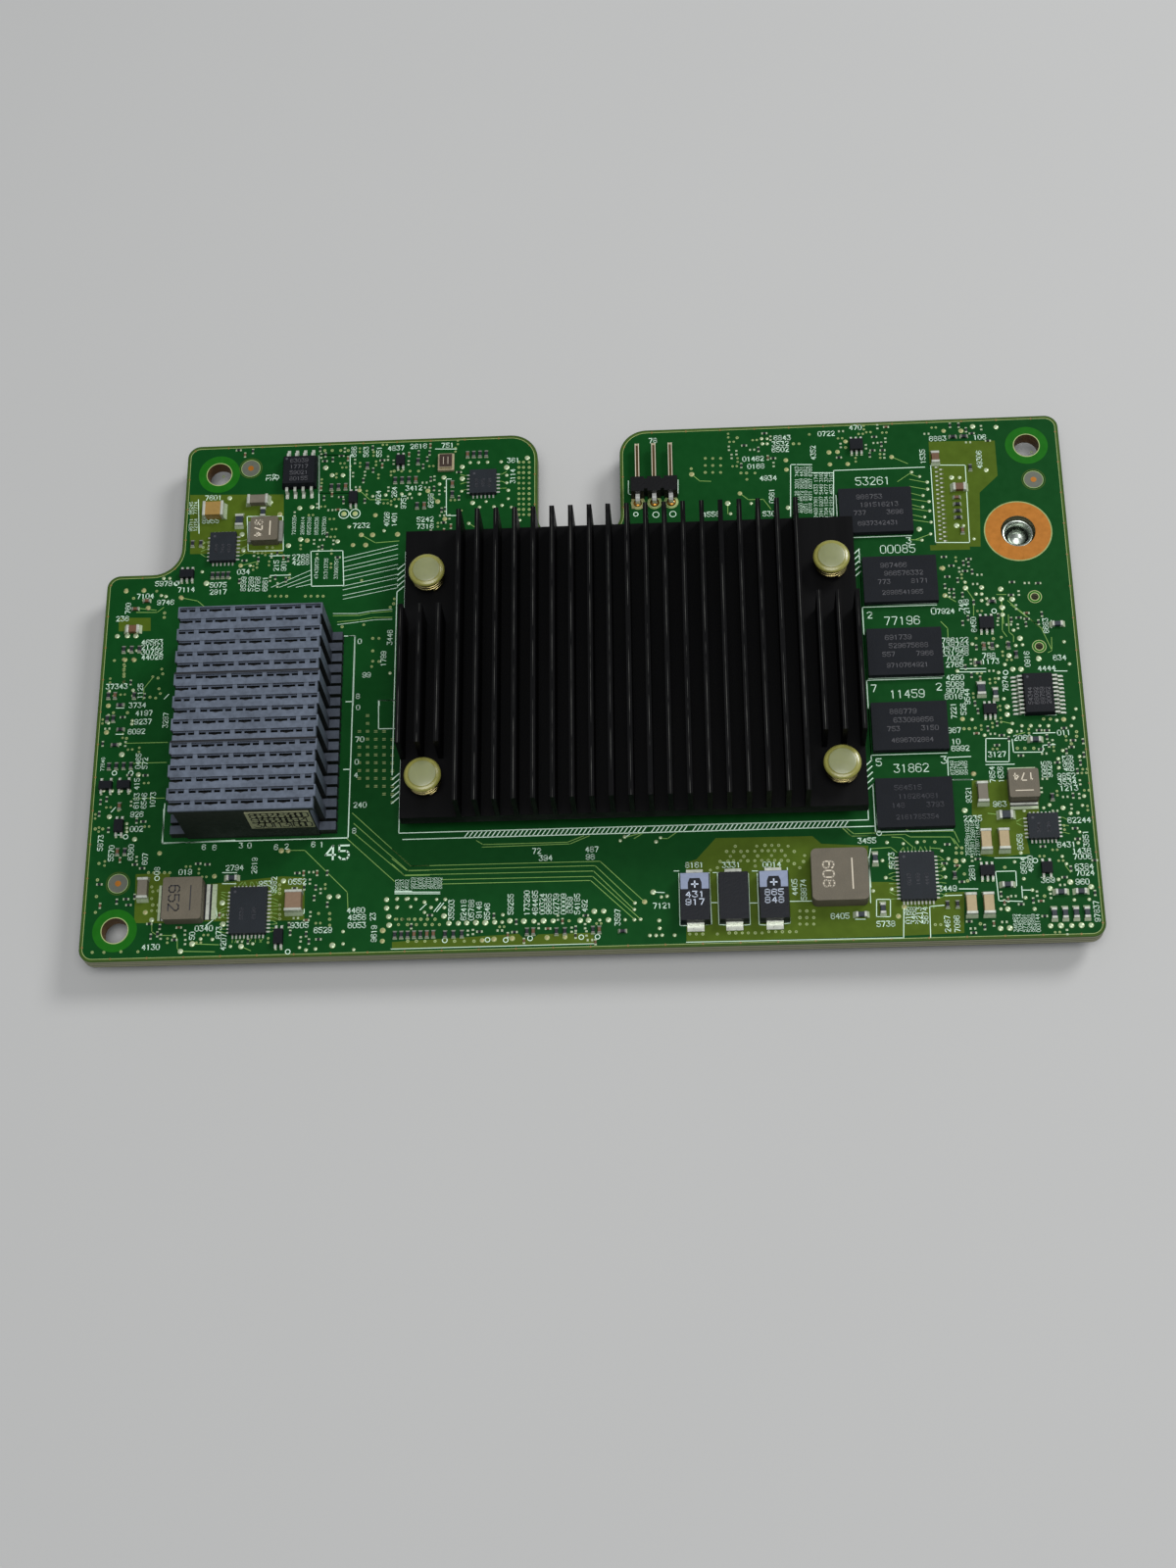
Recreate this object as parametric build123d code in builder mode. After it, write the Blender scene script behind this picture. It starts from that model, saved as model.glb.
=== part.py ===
from build123d import *
import os

os.makedirs("parts", exist_ok=True)

# Mezzanine network card. All sizes are in millimetres.
# +X runs to the right along the long edge, +Y to the back edge with the open
# notch, +Z up through the populated face. Zero height is at the tips of the
# four push pins, which the card rests on.

# Circuit board
board_length = 146.0
board_depth = 84.4
board_thickness = 2.4
tip_drop = 3.0
corner_radius = 2.0
step_width = 11.2
step_depth = 22.35
step_radius = 4.3
notch_left = -7.0
notch_right = 5.7
notch_depth = 17.7
notch_mouth_radius = 4.2
notch_root_radius = 3.0
mounting_hole_radius = 1.9
small_plated_radius = 0.55

board_bottom = tip_drop
board_top = board_bottom + board_thickness
left_edge = -board_length / 2
right_edge = board_length / 2
back_edge = board_depth / 2
front_edge = -board_depth / 2
shoulder_x = left_edge + step_width
shoulder_y = back_edge - step_depth
notch_floor = back_edge - notch_depth

mounting_holes = [
    (shoulder_x + 5.1, back_edge - 5.1),
    (right_edge - 5.0, back_edge - 5.1),
    (left_edge + 5.0, front_edge + 4.7),
]
small_plated_holes = [(right_edge - 5.8, 11.2), (right_edge - 5.8, 3.0)]

# Captive screw in its sleeve
screw_x = right_edge - 7.4
screw_y = back_edge - 19.85
screw_hole_radius = 2.8
sleeve_radius = 2.5
sleeve_bore_radius = 1.75
sleeve_recess = 0.7
sleeve_flange_radius = 4.0
sleeve_flange_height = 0.8
screw_radius = 1.45
screw_tip_depth = 1.6
screw_head_radius = 3.4
screw_head_height = 1.9

# Heat sink
sink_x = 7.0
sink_y = -0.15
sink_length = 67.0
sink_depth = 46.5
sink_standoff = 2.9
sink_base_height = 2.2
fin_spacing = 2.76
fin_thickness = 0.7
fin_height = 6.4
short_fins = 3
short_fin_front = 9.1
short_fin_back = 15.4
sink_bottom = board_top + sink_standoff
sink_base_top = sink_bottom + sink_base_height
fin_count = round((sink_length - fin_thickness) / fin_spacing) + 1
fin_pitch = (sink_length - fin_thickness) / (fin_count - 1)
cut_width = short_fins * fin_pitch - fin_thickness / 2
sink_right = sink_x + sink_length / 2

# Push pins with their springs
pin_inset = 3.6
pin_front_inset = 5.5
pin_back_inset = 8.2
pin_head_radius = 2.7
pin_head_height = 1.2
pin_rim = 0.5
pin_dish = 0.15
pin_radius = 1.2
pin_hole_radius = 1.6
pin_barb_radius = 2.0
pin_barb_tip_radius = 0.9
pin_slit = 0.5
spring_wire = 0.5
spring_radius = 2.2
spring_height = 2.2
pin_left = sink_x - sink_length / 2 + pin_inset
pin_right = sink_x + sink_length / 2 - pin_inset
pin_front = sink_y - sink_depth / 2 + pin_front_inset
pin_back = sink_y + sink_depth / 2 - pin_back_inset
pin_places = [
    (pin_left, pin_front),
    (pin_right, pin_front),
    (pin_left, pin_back),
    (pin_right, pin_back),
]
pin_head_bottom = sink_base_top + spring_height

# Processor under the heat sink
chip_x = sink_x
chip_y = (pin_front + pin_back) / 2
substrate_width = 35.0
substrate_height = 1.2
lid_width = 30.0
lid_height = 1.4
pad_width = 28.0

# Stacked wafer connector
connector_x = left_edge + 24.65
connector_back = shoulder_y - 11.25
connector_width = 21.3
connector_height = 11.0
module_count = 3
rows_per_module = 6
row_pitch = 1.783
module_gap = 0.1
wafer_inset = 0.3
wafer_side_recess = 0.9
wafer_lip = 1.0
foot_reach = 1.5
foot_width = 1.3
foot_height = 1.6
narrow_slot = 0.95
wide_slot = 1.9
slot_gap = 0.37
group_gap = 0.66
slot_width = 0.5
slot_depth = 3.0
pocket_width = 0.68
pocket_depth = 0.35
pocket_margin = 0.17
side_margin = 0.25
module_depth = rows_per_module * row_pitch
module_pitch = module_depth + module_gap
connector_front = connector_back - module_count * module_pitch + module_gap
label_width = 9.2
label_height = 6.1
label_bottom = 3.7
label_thickness = 0.1
label_x = connector_x + 4.95

# Memory packages, back to front down the right of the heat sink
memory_gap = 1.4
memory_length = 11.0
memory_depth = 7.6
memory_height = 1.1
memory_step = 12.0
memory_x = sink_right + memory_gap + memory_length / 2
memory_y = sink_y + 2.6
memory_places = [
    (memory_x - 3.0, memory_y + 2 * memory_step - 0.2),
    (memory_x, memory_y + memory_step),
    (memory_x, memory_y),
    (memory_x, memory_y - memory_step),
    (memory_x, memory_y - 2 * memory_step),
]

# Polymer capacitors
polymer_width = 4.3
polymer_length = 7.3
polymer_height = 2.0
polymer_lead_width = 2.4
polymer_lead_length = 1.0
polymer_lead_height = 1.0
polymer_y = front_edge + 6.9
polymer_places = [sink_x + 8.5, sink_x + 14.0, sink_x + 19.7]

# Angled pin header
header_x = notch_right + 5.25
header_y = back_edge - 10.8
header_pitch = 2.54
header_count = 3
header_body_depth = 2.5
header_body_height = 2.5
header_pin_width = 0.64
header_pin_length = 6.4
header_row_y = header_y - 2.0
header_hole_radius = 0.6

# Chip sized parts: length, width and height of each case size
tiny_case = (1.0, 0.5, 0.4)
small_case = (1.6, 0.8, 0.6)
medium_case = (2.0, 1.25, 0.7)
large_case = (3.2, 1.6, 1.2)
broad_case = (3.2, 2.5, 1.6)


def block(x, y, z, length, depth, height):
    """A plain box standing on height z, centred on x and y."""
    with Locations((x, y, z)):
        Box(length, depth, height, align=(Align.CENTER, Align.CENTER, Align.MIN))


def blocks(places, z, length, depth, height):
    """Equal boxes standing on height z at each x, y place."""
    with Locations(*[(x, y, z) for x, y in places]):
        Box(length, depth, height, align=(Align.CENTER, Align.CENTER, Align.MIN))


def eased_block(x, y, z, length, depth, height, radius):
    """A box whose four upright corners are rounded."""
    with BuildSketch(Plane.XY.offset(z)) as outline:
        with Locations((x, y)):
            RectangleRounded(length, depth, radius)
    extrude(to_extrude=outline.sketch, amount=height)


def bevelled_block(x, y, z, length, depth, height, bevel):
    """A moulded body whose sides lean in above its middle."""
    block(x, y, z, length, depth, height / 2)
    with BuildSketch(Plane.XY.offset(z + height / 2)) as middle:
        with Locations((x, y)):
            Rectangle(length, depth)
    with BuildSketch(Plane.XY.offset(z + height)) as top:
        with Locations((x, y)):
            Rectangle(length - 2 * bevel, depth - 2 * bevel)
    loft(sections=[middle.sketch.face(), top.sketch.face()])


def bent_leads(places, reach, rise, width, metal):
    """Equal gull wing leads. A place is x, y, z and the way the lead points."""
    profile = [
        (0, rise),
        (reach * 0.35 + metal, rise),
        (reach * 0.55 + metal, metal),
        (reach, metal),
        (reach, 0),
        (reach * 0.45, 0),
        (reach * 0.3, rise - metal),
        (0, rise - metal),
    ]
    with BuildPart(mode=Mode.PRIVATE) as one_lead:
        with BuildSketch(Plane.XZ.offset(-width / 2)):
            with BuildLine():
                Polyline(*profile, close=True)
            make_face()
        extrude(amount=width)
    with Locations(*[Location((x, y, z), (0, 0, turn)) for x, y, z, turn in places]):
        add(one_lead.part)


def spread(places):
    """Every part of a list of rows: x, y, count, step in x and step in y."""
    out = []
    for x, y, count, step_x, step_y in places:
        for number in range(count):
            out.append((x + number * step_x, y + number * step_y))
    return out


def chips(places, case, along_y):
    """Chip parts of one case size, lying along y or along x."""
    length, width, height = case
    if along_y:
        blocks(spread(places), board_top, width, length, height)
    else:
        blocks(spread(places), board_top, length, width, height)


# The board with its stepped corner, open notch and holes
with BuildPart() as circuit_board:
    with BuildSketch(Plane.XY.offset(board_bottom)):
        Rectangle(board_length, board_depth)
        with Locations(((left_edge + shoulder_x) / 2, (back_edge + shoulder_y) / 2)):
            Rectangle(step_width, step_depth, mode=Mode.SUBTRACT)
        with Locations(((notch_left + notch_right) / 2, (back_edge + notch_floor) / 2)):
            Rectangle(notch_right - notch_left, notch_depth, mode=Mode.SUBTRACT)
        notch_mouth = [
            v for v in vertices()
            if abs(v.Y - back_edge) < 0.01 and notch_left - 0.01 < v.X < notch_right + 0.01
        ]
        fillet(notch_mouth, notch_mouth_radius)
        notch_root = [v for v in vertices() if abs(v.Y - notch_floor) < 0.01]
        fillet(notch_root, notch_root_radius)
        step_root = [
            v for v in vertices()
            if abs(v.X - shoulder_x) < 0.01 and abs(v.Y - shoulder_y) < 0.01
        ]
        fillet(step_root, step_radius)
        corners = [
            v for v in vertices()
            if abs(abs(v.X) - board_length / 2) < 0.01
            and min(abs(abs(v.Y) - board_depth / 2), abs(v.Y - shoulder_y)) < 0.01
        ]
        shoulder = [
            v for v in vertices()
            if abs(v.X - shoulder_x) < 0.01 and abs(v.Y - back_edge) < 0.01
        ]
        fillet(corners + shoulder, corner_radius)
        with Locations(*mounting_holes):
            Circle(mounting_hole_radius, mode=Mode.SUBTRACT)
        with Locations((screw_x, screw_y)):
            Circle(screw_hole_radius, mode=Mode.SUBTRACT)
        with Locations(*small_plated_holes):
            Circle(small_plated_radius, mode=Mode.SUBTRACT)
        with Locations(*pin_places):
            Circle(pin_hole_radius, mode=Mode.SUBTRACT)
        with Locations((header_x, header_row_y)):
            with GridLocations(header_pitch, 1, header_count, 1):
                Circle(header_hole_radius, mode=Mode.SUBTRACT)
    extrude(amount=board_thickness)
circuit_board.part.label = "circuit_board"
export_step(circuit_board.part, "parts/circuit_board.step")

# Processor package: a laminate base and a metal lid with a stepped brim
with BuildPart() as chip_substrate:
    block(chip_x, chip_y, board_top, substrate_width, substrate_width, substrate_height)
chip_substrate.part.label = "chip_substrate"
export_step(chip_substrate.part, "parts/chip_substrate.step")

with BuildPart() as chip_lid:
    lid_bottom = board_top + substrate_height
    block(chip_x, chip_y, lid_bottom, lid_width + 2, lid_width + 2, lid_height / 2)
    block(chip_x, chip_y, lid_bottom, lid_width, lid_width, lid_height)
chip_lid.part.label = "chip_lid"
export_step(chip_lid.part, "parts/chip_lid.step")

with BuildPart() as thermal_pad:
    pad_bottom = board_top + substrate_height + lid_height
    pad_height = sink_standoff - substrate_height - lid_height
    block(chip_x, chip_y, pad_bottom, pad_width, pad_width, pad_height)
thermal_pad.part.label = "thermal_pad"
export_step(thermal_pad.part, "parts/thermal_pad.step")

# Extruded heat sink whose outer fins stop short of the push pins
with BuildPart() as heat_sink:
    block(sink_x, sink_y, sink_bottom, sink_length, sink_depth, sink_base_height)
    with Locations((sink_x, sink_y, sink_base_top)):
        with GridLocations(fin_pitch, 1, fin_count, 1):
            Box(
                fin_thickness, sink_depth, fin_height,
                align=(Align.CENTER, Align.CENTER, Align.MIN),
            )
    for side in (-1, 1):
        cut_x = sink_x + side * (sink_length - cut_width) / 2
        front_y = sink_y - (sink_depth - short_fin_front) / 2
        back_y = sink_y + (sink_depth - short_fin_back) / 2
        with Locations((cut_x, front_y, sink_base_top)):
            Box(
                cut_width, short_fin_front, fin_height,
                align=(Align.CENTER, Align.CENTER, Align.MIN), mode=Mode.SUBTRACT,
            )
        with Locations((cut_x, back_y, sink_base_top)):
            Box(
                cut_width, short_fin_back, fin_height,
                align=(Align.CENTER, Align.CENTER, Align.MIN), mode=Mode.SUBTRACT,
            )
    with BuildSketch(Plane.XY.offset(sink_bottom)):
        with Locations(*pin_places):
            Circle(pin_hole_radius)
    extrude(amount=sink_base_height, mode=Mode.SUBTRACT)
heat_sink.part.label = "heat_sink"
export_step(heat_sink.part, "parts/heat_sink.step")

# Push pins: dished head, shank inside the spring, and a split barb
with BuildPart() as push_pins:
    for pin_x, pin_y in pin_places:
        head_top = pin_head_bottom + pin_head_height
        with BuildPart(mode=Mode.PRIVATE) as one_pin:
            with BuildSketch(Plane.XZ) as pin_profile:
                with BuildLine():
                    Polyline(
                        (0, 0),
                        (pin_barb_tip_radius, 0),
                        (pin_barb_radius, tip_drop),
                        (pin_radius, tip_drop),
                        (pin_radius, pin_head_bottom),
                        (pin_head_radius, pin_head_bottom),
                        (pin_head_radius, head_top - 0.3),
                        (pin_head_radius - 0.25, head_top),
                        (pin_head_radius - pin_rim, head_top),
                        (pin_head_radius - pin_rim - 0.2, head_top - pin_dish),
                        (0, head_top - pin_dish),
                        close=True,
                    )
                make_face()
            revolve(axis=Axis.Z)
            Box(
                pin_slit, 2 * pin_barb_radius + 1, tip_drop,
                align=(Align.CENTER, Align.CENTER, Align.MIN), mode=Mode.SUBTRACT,
            )
        with Locations((pin_x, pin_y, 0)):
            add(one_pin.part)
push_pins.part.label = "push_pins"
export_step(push_pins.part, "parts/push_pins.step")

# Coil springs squeezed between the pin heads and the heat sink base
with BuildPart() as push_pin_springs:
    for pin_x, pin_y in pin_places:
        coil_bottom = sink_base_top + spring_wire / 2
        coil_rise = spring_height - spring_wire
        coil_place = Location((pin_x, pin_y, coil_bottom))
        with BuildLine(coil_place, mode=Mode.PRIVATE) as coil_path:
            Helix(pitch=coil_rise / 2, height=coil_rise, radius=spring_radius)
        coil_start = coil_path.line @ 0
        coil_heading = coil_path.line % 0
        with BuildSketch(Plane(origin=coil_start, z_dir=coil_heading)):
            Rectangle(spring_wire * 0.8, spring_wire * 0.8)
        sweep(path=coil_path.line, is_frenet=True)
push_pin_springs.part.label = "push_pin_springs"
export_step(push_pin_springs.part, "parts/push_pin_springs.step")


def slot_row(row, left):
    """Slot centres and widths along one wafer, and the extent of each group."""
    if row % 2 == 0:
        groups = ["nn", "nwn", "nwn", "nwn", "nn"]
    else:
        groups = ["wn", "nwn", "nwn", "nwn", "n"]
    at = left + side_margin
    slots = []
    spans = []
    for group in groups:
        start = at
        for letter in group:
            width = wide_slot if letter == "w" else narrow_slot
            slots.append((at + width / 2, width))
            at += width + slot_gap
        at -= slot_gap
        spans.append(((start + at) / 2, at - start))
        at += group_gap
    return slots, spans


# Three connector modules, each a stack of wafers with contact slots on top
for module in range(module_count):
    module_back = connector_back - module * module_pitch
    module_top = board_top + connector_height
    left = connector_x - connector_width / 2
    with BuildPart() as connector_module:
        rows = [module_back - (row + 0.5) * row_pitch for row in range(rows_per_module)]
        core = connector_width - 2 * wafer_side_recess
        block(
            connector_x, module_back - module_depth / 2, board_top,
            core, module_depth, connector_height,
        )
        blocks(
            [(connector_x, row_y) for row_y in rows[0::2]], board_top,
            connector_width, row_pitch, connector_height,
        )
        blocks(
            [(connector_x, row_y) for row_y in rows[1::2]], module_top - wafer_lip,
            connector_width - 2 * wafer_inset, row_pitch, wafer_lip,
        )
        blocks(
            [(connector_x, row_y) for row_y in rows], board_top,
            connector_width + 2 * foot_reach, foot_width, foot_height,
        )
        with BuildSketch(Plane.XY.offset(module_top)):
            for row in range(rows_per_module):
                row_back = module_back - row * row_pitch - pocket_margin
                slots, spans = slot_row(row, left)
                for centre, width in spans:
                    with Locations((centre, row_back - pocket_width / 2)):
                        Rectangle(width, pocket_width)
        extrude(amount=-pocket_depth, mode=Mode.SUBTRACT)
        with BuildSketch(Plane.XY.offset(module_top - pocket_depth)):
            for row in range(rows_per_module):
                row_back = module_back - row * row_pitch - pocket_margin
                slot_y = row_back - pocket_width + slot_width / 2
                slots, spans = slot_row(row, left)
                for centre, width in slots:
                    with Locations((centre, slot_y)):
                        Rectangle(width, slot_width)
        extrude(amount=-slot_depth, mode=Mode.SUBTRACT)
    connector_module.part.label = "connector_module_" + str(module + 1)
    export_step(
        connector_module.part, "parts/connector_module_" + str(module + 1) + ".step"
    )

with BuildPart() as connector_label:
    block(
        label_x, connector_front - label_thickness / 2, board_top + label_bottom,
        label_width, label_thickness, label_height,
    )
connector_label.part.label = "connector_label"
export_step(connector_label.part, "parts/connector_label.step")

# Memory packages
for number, (memory_x, memory_y) in enumerate(memory_places, start=1):
    with BuildPart() as memory_chip:
        block(memory_x, memory_y, board_top, memory_length, memory_depth, memory_height)
    memory_chip.part.label = "memory_chip_" + str(number)
    export_step(memory_chip.part, "parts/memory_chip_" + str(number) + ".step")

# Polymer capacitors with a folded lead at each end
for number, polymer_x in enumerate(polymer_places, start=1):
    with BuildPart() as polymer_capacitor:
        bevelled_block(
            polymer_x, polymer_y, board_top,
            polymer_width, polymer_length, polymer_height, 0.12,
        )
    polymer_capacitor.part.label = "polymer_capacitor_" + str(number)
    export_step(
        polymer_capacitor.part, "parts/polymer_capacitor_" + str(number) + ".step"
    )

with BuildPart() as polymer_leads:
    for polymer_x in polymer_places:
        for side in (-1, 1):
            face_y = polymer_y + side * polymer_length / 2
            block(
                polymer_x, face_y + side * polymer_lead_length / 2, board_top,
                polymer_lead_width, polymer_lead_length, 0.15,
            )
            block(
                polymer_x, face_y + side * 0.075, board_top,
                polymer_lead_width, 0.15, polymer_lead_height,
            )
polymer_leads.part.label = "polymer_leads"
export_step(polymer_leads.part, "parts/polymer_leads.step")

# Angled pin header
with BuildPart() as header_body:
    with Locations((header_x, header_y, board_top)):
        with GridLocations(header_pitch, 1, header_count, 1):
            Box(
                header_pitch - 0.5, header_body_depth, header_body_height,
                align=(Align.CENTER, Align.CENTER, Align.MIN),
            )
    block(
        header_x, header_y, board_top,
        header_pitch * header_count - 0.5, header_body_depth - 0.8, header_body_height,
    )
    pin_level = board_top + header_body_height / 2
    with Locations((header_x, header_y, pin_level)):
        with GridLocations(header_pitch, 1, header_count, 1):
            Box(
                header_pin_width, header_body_depth + 1, header_pin_width,
                mode=Mode.SUBTRACT,
            )
header_body.part.label = "header_body"
export_step(header_body.part, "parts/header_body.step")

with BuildPart() as header_pins:
    pin_back_y = header_y + header_body_depth / 2 + header_pin_length
    for number in range(header_count):
        one_x = header_x + (number - (header_count - 1) / 2) * header_pitch
        half = header_pin_width / 2
        with BuildSketch(Plane.YZ.offset(one_x - half)):
            with BuildLine():
                Polyline(
                    (header_row_y - half, board_bottom - 0.8),
                    (header_row_y + half, board_bottom - 0.8),
                    (header_row_y + half, pin_level - half),
                    (pin_back_y - 0.4, pin_level - half),
                    (pin_back_y, pin_level - half / 2),
                    (pin_back_y, pin_level + half / 2),
                    (pin_back_y - 0.4, pin_level + half),
                    (header_row_y, pin_level + half),
                    (header_row_y - half, pin_level),
                    close=True,
                )
            make_face()
        extrude(amount=header_pin_width)
header_pins.part.label = "header_pins"
export_step(header_pins.part, "parts/header_pins.step")

# Screw sleeve clinched in the board, and the captive screw that turns in it
with BuildPart() as screw_sleeve:
    with BuildSketch(Plane.XY.offset(board_bottom - sleeve_flange_height)):
        with Locations((screw_x, screw_y)):
            Circle(sleeve_flange_radius)
            Circle(sleeve_bore_radius, mode=Mode.SUBTRACT)
    extrude(amount=sleeve_flange_height)
    with BuildSketch(Plane.XY.offset(board_bottom)):
        with Locations((screw_x, screw_y)):
            Circle(sleeve_radius)
            Circle(sleeve_bore_radius, mode=Mode.SUBTRACT)
    extrude(amount=board_thickness - sleeve_recess)
screw_sleeve.part.label = "screw_sleeve"
export_step(screw_sleeve.part, "parts/screw_sleeve.step")

with BuildPart() as captive_screw:
    head_plane = board_bottom - sleeve_flange_height
    shank_top = board_top - screw_tip_depth
    with BuildPart(mode=Mode.PRIVATE) as turned_screw:
        with BuildSketch(Plane.XZ):
            with BuildLine():
                Polyline(
                    (0, head_plane - screw_head_height),
                    (screw_head_radius - 0.3, head_plane - screw_head_height),
                    (screw_head_radius, head_plane - screw_head_height + 0.3),
                    (screw_head_radius, head_plane),
                    (screw_radius, head_plane),
                    (screw_radius, shank_top - 0.6),
                    (screw_radius - 0.6, shank_top),
                    (0, shank_top),
                    close=True,
                )
            make_face()
        revolve(axis=Axis.Z)
        with BuildSketch(Plane.XY.offset(head_plane - screw_head_height)):
            RegularPolygon(1.5, 6)
        extrude(amount=screw_head_height * 0.7, mode=Mode.SUBTRACT)
    with Locations((screw_x, screw_y, 0)):
        add(turned_screw.part)
captive_screw.part.label = "captive_screw"
export_step(captive_screw.part, "parts/captive_screw.step")

# Power inductors: x, y, length, depth, height, corner radius
inductors = {
    "inductor_front_right": (right_edge - 36.95, front_edge + 9.4, 8.0, 7.8, 2.8, 0.8),
    "inductor_front_left": (left_edge + 15.0, front_edge + 8.65, 5.7, 6.4, 2.2, 0.4),
    "inductor_back_left": (left_edge + 24.1, back_edge - 15.8, 4.2, 4.1, 1.8, 0.3),
    "inductor_right": (right_edge - 10.0, front_edge + 22.8, 4.3, 4.4, 2.0, 0.3),
}
for name, (x, y, length, depth, height, radius) in inductors.items():
    with BuildPart() as inductor:
        eased_block(x, y, board_top, length, depth, height, radius)
    inductor.part.label = name
    export_step(inductor.part, "parts/" + name + ".step")


def terminal(name, side_x, side_y, reach, width, height):
    """A terminal strip that starts at one face of an inductor."""
    x, y, length, depth, body_height, radius = inductors[name]
    if side_x != 0:
        block(x + side_x * (length + reach) / 2, y, board_top, reach, width, height)
    else:
        block(x, y + side_y * (depth + reach) / 2, board_top, width, reach, height)


with BuildPart() as inductor_terminals:
    terminal("inductor_front_left", 1, 0, 1.8, 5.4, 0.25)
    terminal("inductor_front_left", -1, 0, 1.0, 5.4, 0.25)
    terminal("inductor_right", 0, -1, 1.2, 4.0, 0.25)
    terminal("inductor_right", 0, 1, 0.9, 4.0, 0.25)
    terminal("inductor_back_left", -1, 0, 0.6, 3.6, 0.8)
    terminal("inductor_back_left", 1, 0, 0.6, 3.6, 0.8)
inductor_terminals.part.label = "inductor_terminals"
export_step(inductor_terminals.part, "parts/inductor_terminals.step")

# Eight lead package at the back left
soic_x = left_edge + 29.05
soic_y = back_edge - 5.6
soic_width = 5.3
soic_height = 1.6
with BuildPart() as eight_lead_body:
    bevelled_block(soic_x, soic_y, board_top, soic_width, soic_width, soic_height, 0.25)
eight_lead_body.part.label = "eight_lead_body"
export_step(eight_lead_body.part, "parts/eight_lead_body.step")

eight_lead_places = []
for number in range(4):
    lead_x = soic_x + (number - 1.5) * 1.27
    eight_lead_places.append((lead_x, soic_y + soic_width / 2, board_top, 90))
    eight_lead_places.append((lead_x, soic_y - soic_width / 2, board_top, -90))
with BuildPart() as eight_leads:
    bent_leads(eight_lead_places, 1.5, 0.85, 0.42, 0.2)
eight_leads.part.label = "eight_leads"
export_step(eight_leads.part, "parts/eight_leads.step")

# Twenty lead package near the right edge
tssop_x = right_edge - 6.6
tssop_y = -4.9
tssop_width = 4.4
tssop_length = 6.5
with BuildPart() as twenty_lead_body:
    bevelled_block(tssop_x, tssop_y, board_top, tssop_width, tssop_length, 1.1, 0.15)
twenty_lead_body.part.label = "twenty_lead_body"
export_step(twenty_lead_body.part, "parts/twenty_lead_body.step")

twenty_lead_places = []
for number in range(10):
    lead_y = tssop_y + (number - 4.5) * 0.65
    twenty_lead_places.append((tssop_x + tssop_width / 2, lead_y, board_top, 0))
    twenty_lead_places.append((tssop_x - tssop_width / 2, lead_y, board_top, 180))
with BuildPart() as twenty_leads:
    bent_leads(twenty_lead_places, 1.5, 0.6, 0.28, 0.15)
twenty_leads.part.label = "twenty_leads"
export_step(twenty_leads.part, "parts/twenty_leads.step")

# Flat no-lead packages: x, y, length, depth, height
flat_packages = [
    ("flat_package_back_left", left_edge + 17.65, back_edge - 18.2, 4.0, 4.9, 0.9),
    ("flat_package_middle", left_edge + 57.6, back_edge - 8.4, 4.1, 4.1, 0.9),
    ("flat_package_front_left", left_edge + 24.4, front_edge + 7.0, 5.3, 7.0, 1.0),
    ("flat_package_front_right", right_edge - 25.9, front_edge + 9.5, 5.0, 7.1, 1.0),
    ("flat_package_right", right_edge - 7.6, front_edge + 16.6, 4.3, 3.8, 0.9),
]
for name, x, y, length, depth, height in flat_packages:
    with BuildPart() as flat_package:
        block(x, y, board_top, length, depth, height)
    flat_package.part.label = name
    export_step(flat_package.part, "parts/" + name + ".step")

# Oscillator can at the middle of the left back edge
with BuildPart() as oscillator:
    oscillator_x = left_edge + 51.8
    oscillator_y = back_edge - 4.6
    block(oscillator_x, oscillator_y, board_top, 2.5, 2.9, 0.5)
    block(oscillator_x, oscillator_y, board_top + 0.5, 2.0, 2.4, 0.5)
oscillator.part.label = "oscillator"
export_step(oscillator.part, "parts/oscillator.step")

# Small transistor packages: x, y, length, depth, leads on each long side
transistors = [
    (left_edge + 12.3, back_edge - 22.6, 2.1, 1.3, 3),
    (left_edge + 2.2, front_edge + 27.2, 1.9, 1.2, 2),
    (left_edge + 4.9, front_edge + 27.2, 1.9, 1.2, 2),
    (left_edge + 4.6, front_edge + 20.7, 1.3, 1.9, 2),
    (left_edge + 28.9, front_edge + 3.0, 1.3, 2.2, 2),
    (right_edge - 13.3, 6.9, 2.1, 1.9, 3),
    (right_edge - 13.8, -7.1, 1.9, 1.5, 3),
    (right_edge - 16.0, front_edge + 10.1, 2.0, 1.5, 3),
    (right_edge - 30.9, back_edge - 4.2, 2.0, 1.8, 3),
    (left_edge + 44.7, back_edge - 4.0, 1.3, 1.6, 2),
    (left_edge + 37.5, back_edge - 10.3, 1.3, 1.9, 2),
    (right_edge - 7.6, front_edge + 10.3, 1.5, 1.6, 2),
]
with BuildPart() as transistor_bodies:
    for x, y, length, depth, leads in transistors:
        block(x, y, board_top, length, depth, 0.9)
transistor_bodies.part.label = "transistor_bodies"
export_step(transistor_bodies.part, "parts/transistor_bodies.step")

transistor_lead_places = []
for x, y, length, depth, leads in transistors:
    for side in (-1, 1):
        for number in range(leads):
            lead_x = x + (number - (leads - 1) / 2) * (length - 0.5) / (leads - 1)
            transistor_lead_places.append((lead_x, y + side * (depth / 2 + 0.3)))
with BuildPart() as transistor_leads:
    blocks(transistor_lead_places, board_top, 0.32, 0.6, 0.35)
transistor_leads.part.label = "transistor_leads"
export_step(transistor_leads.part, "parts/transistor_leads.step")

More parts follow.
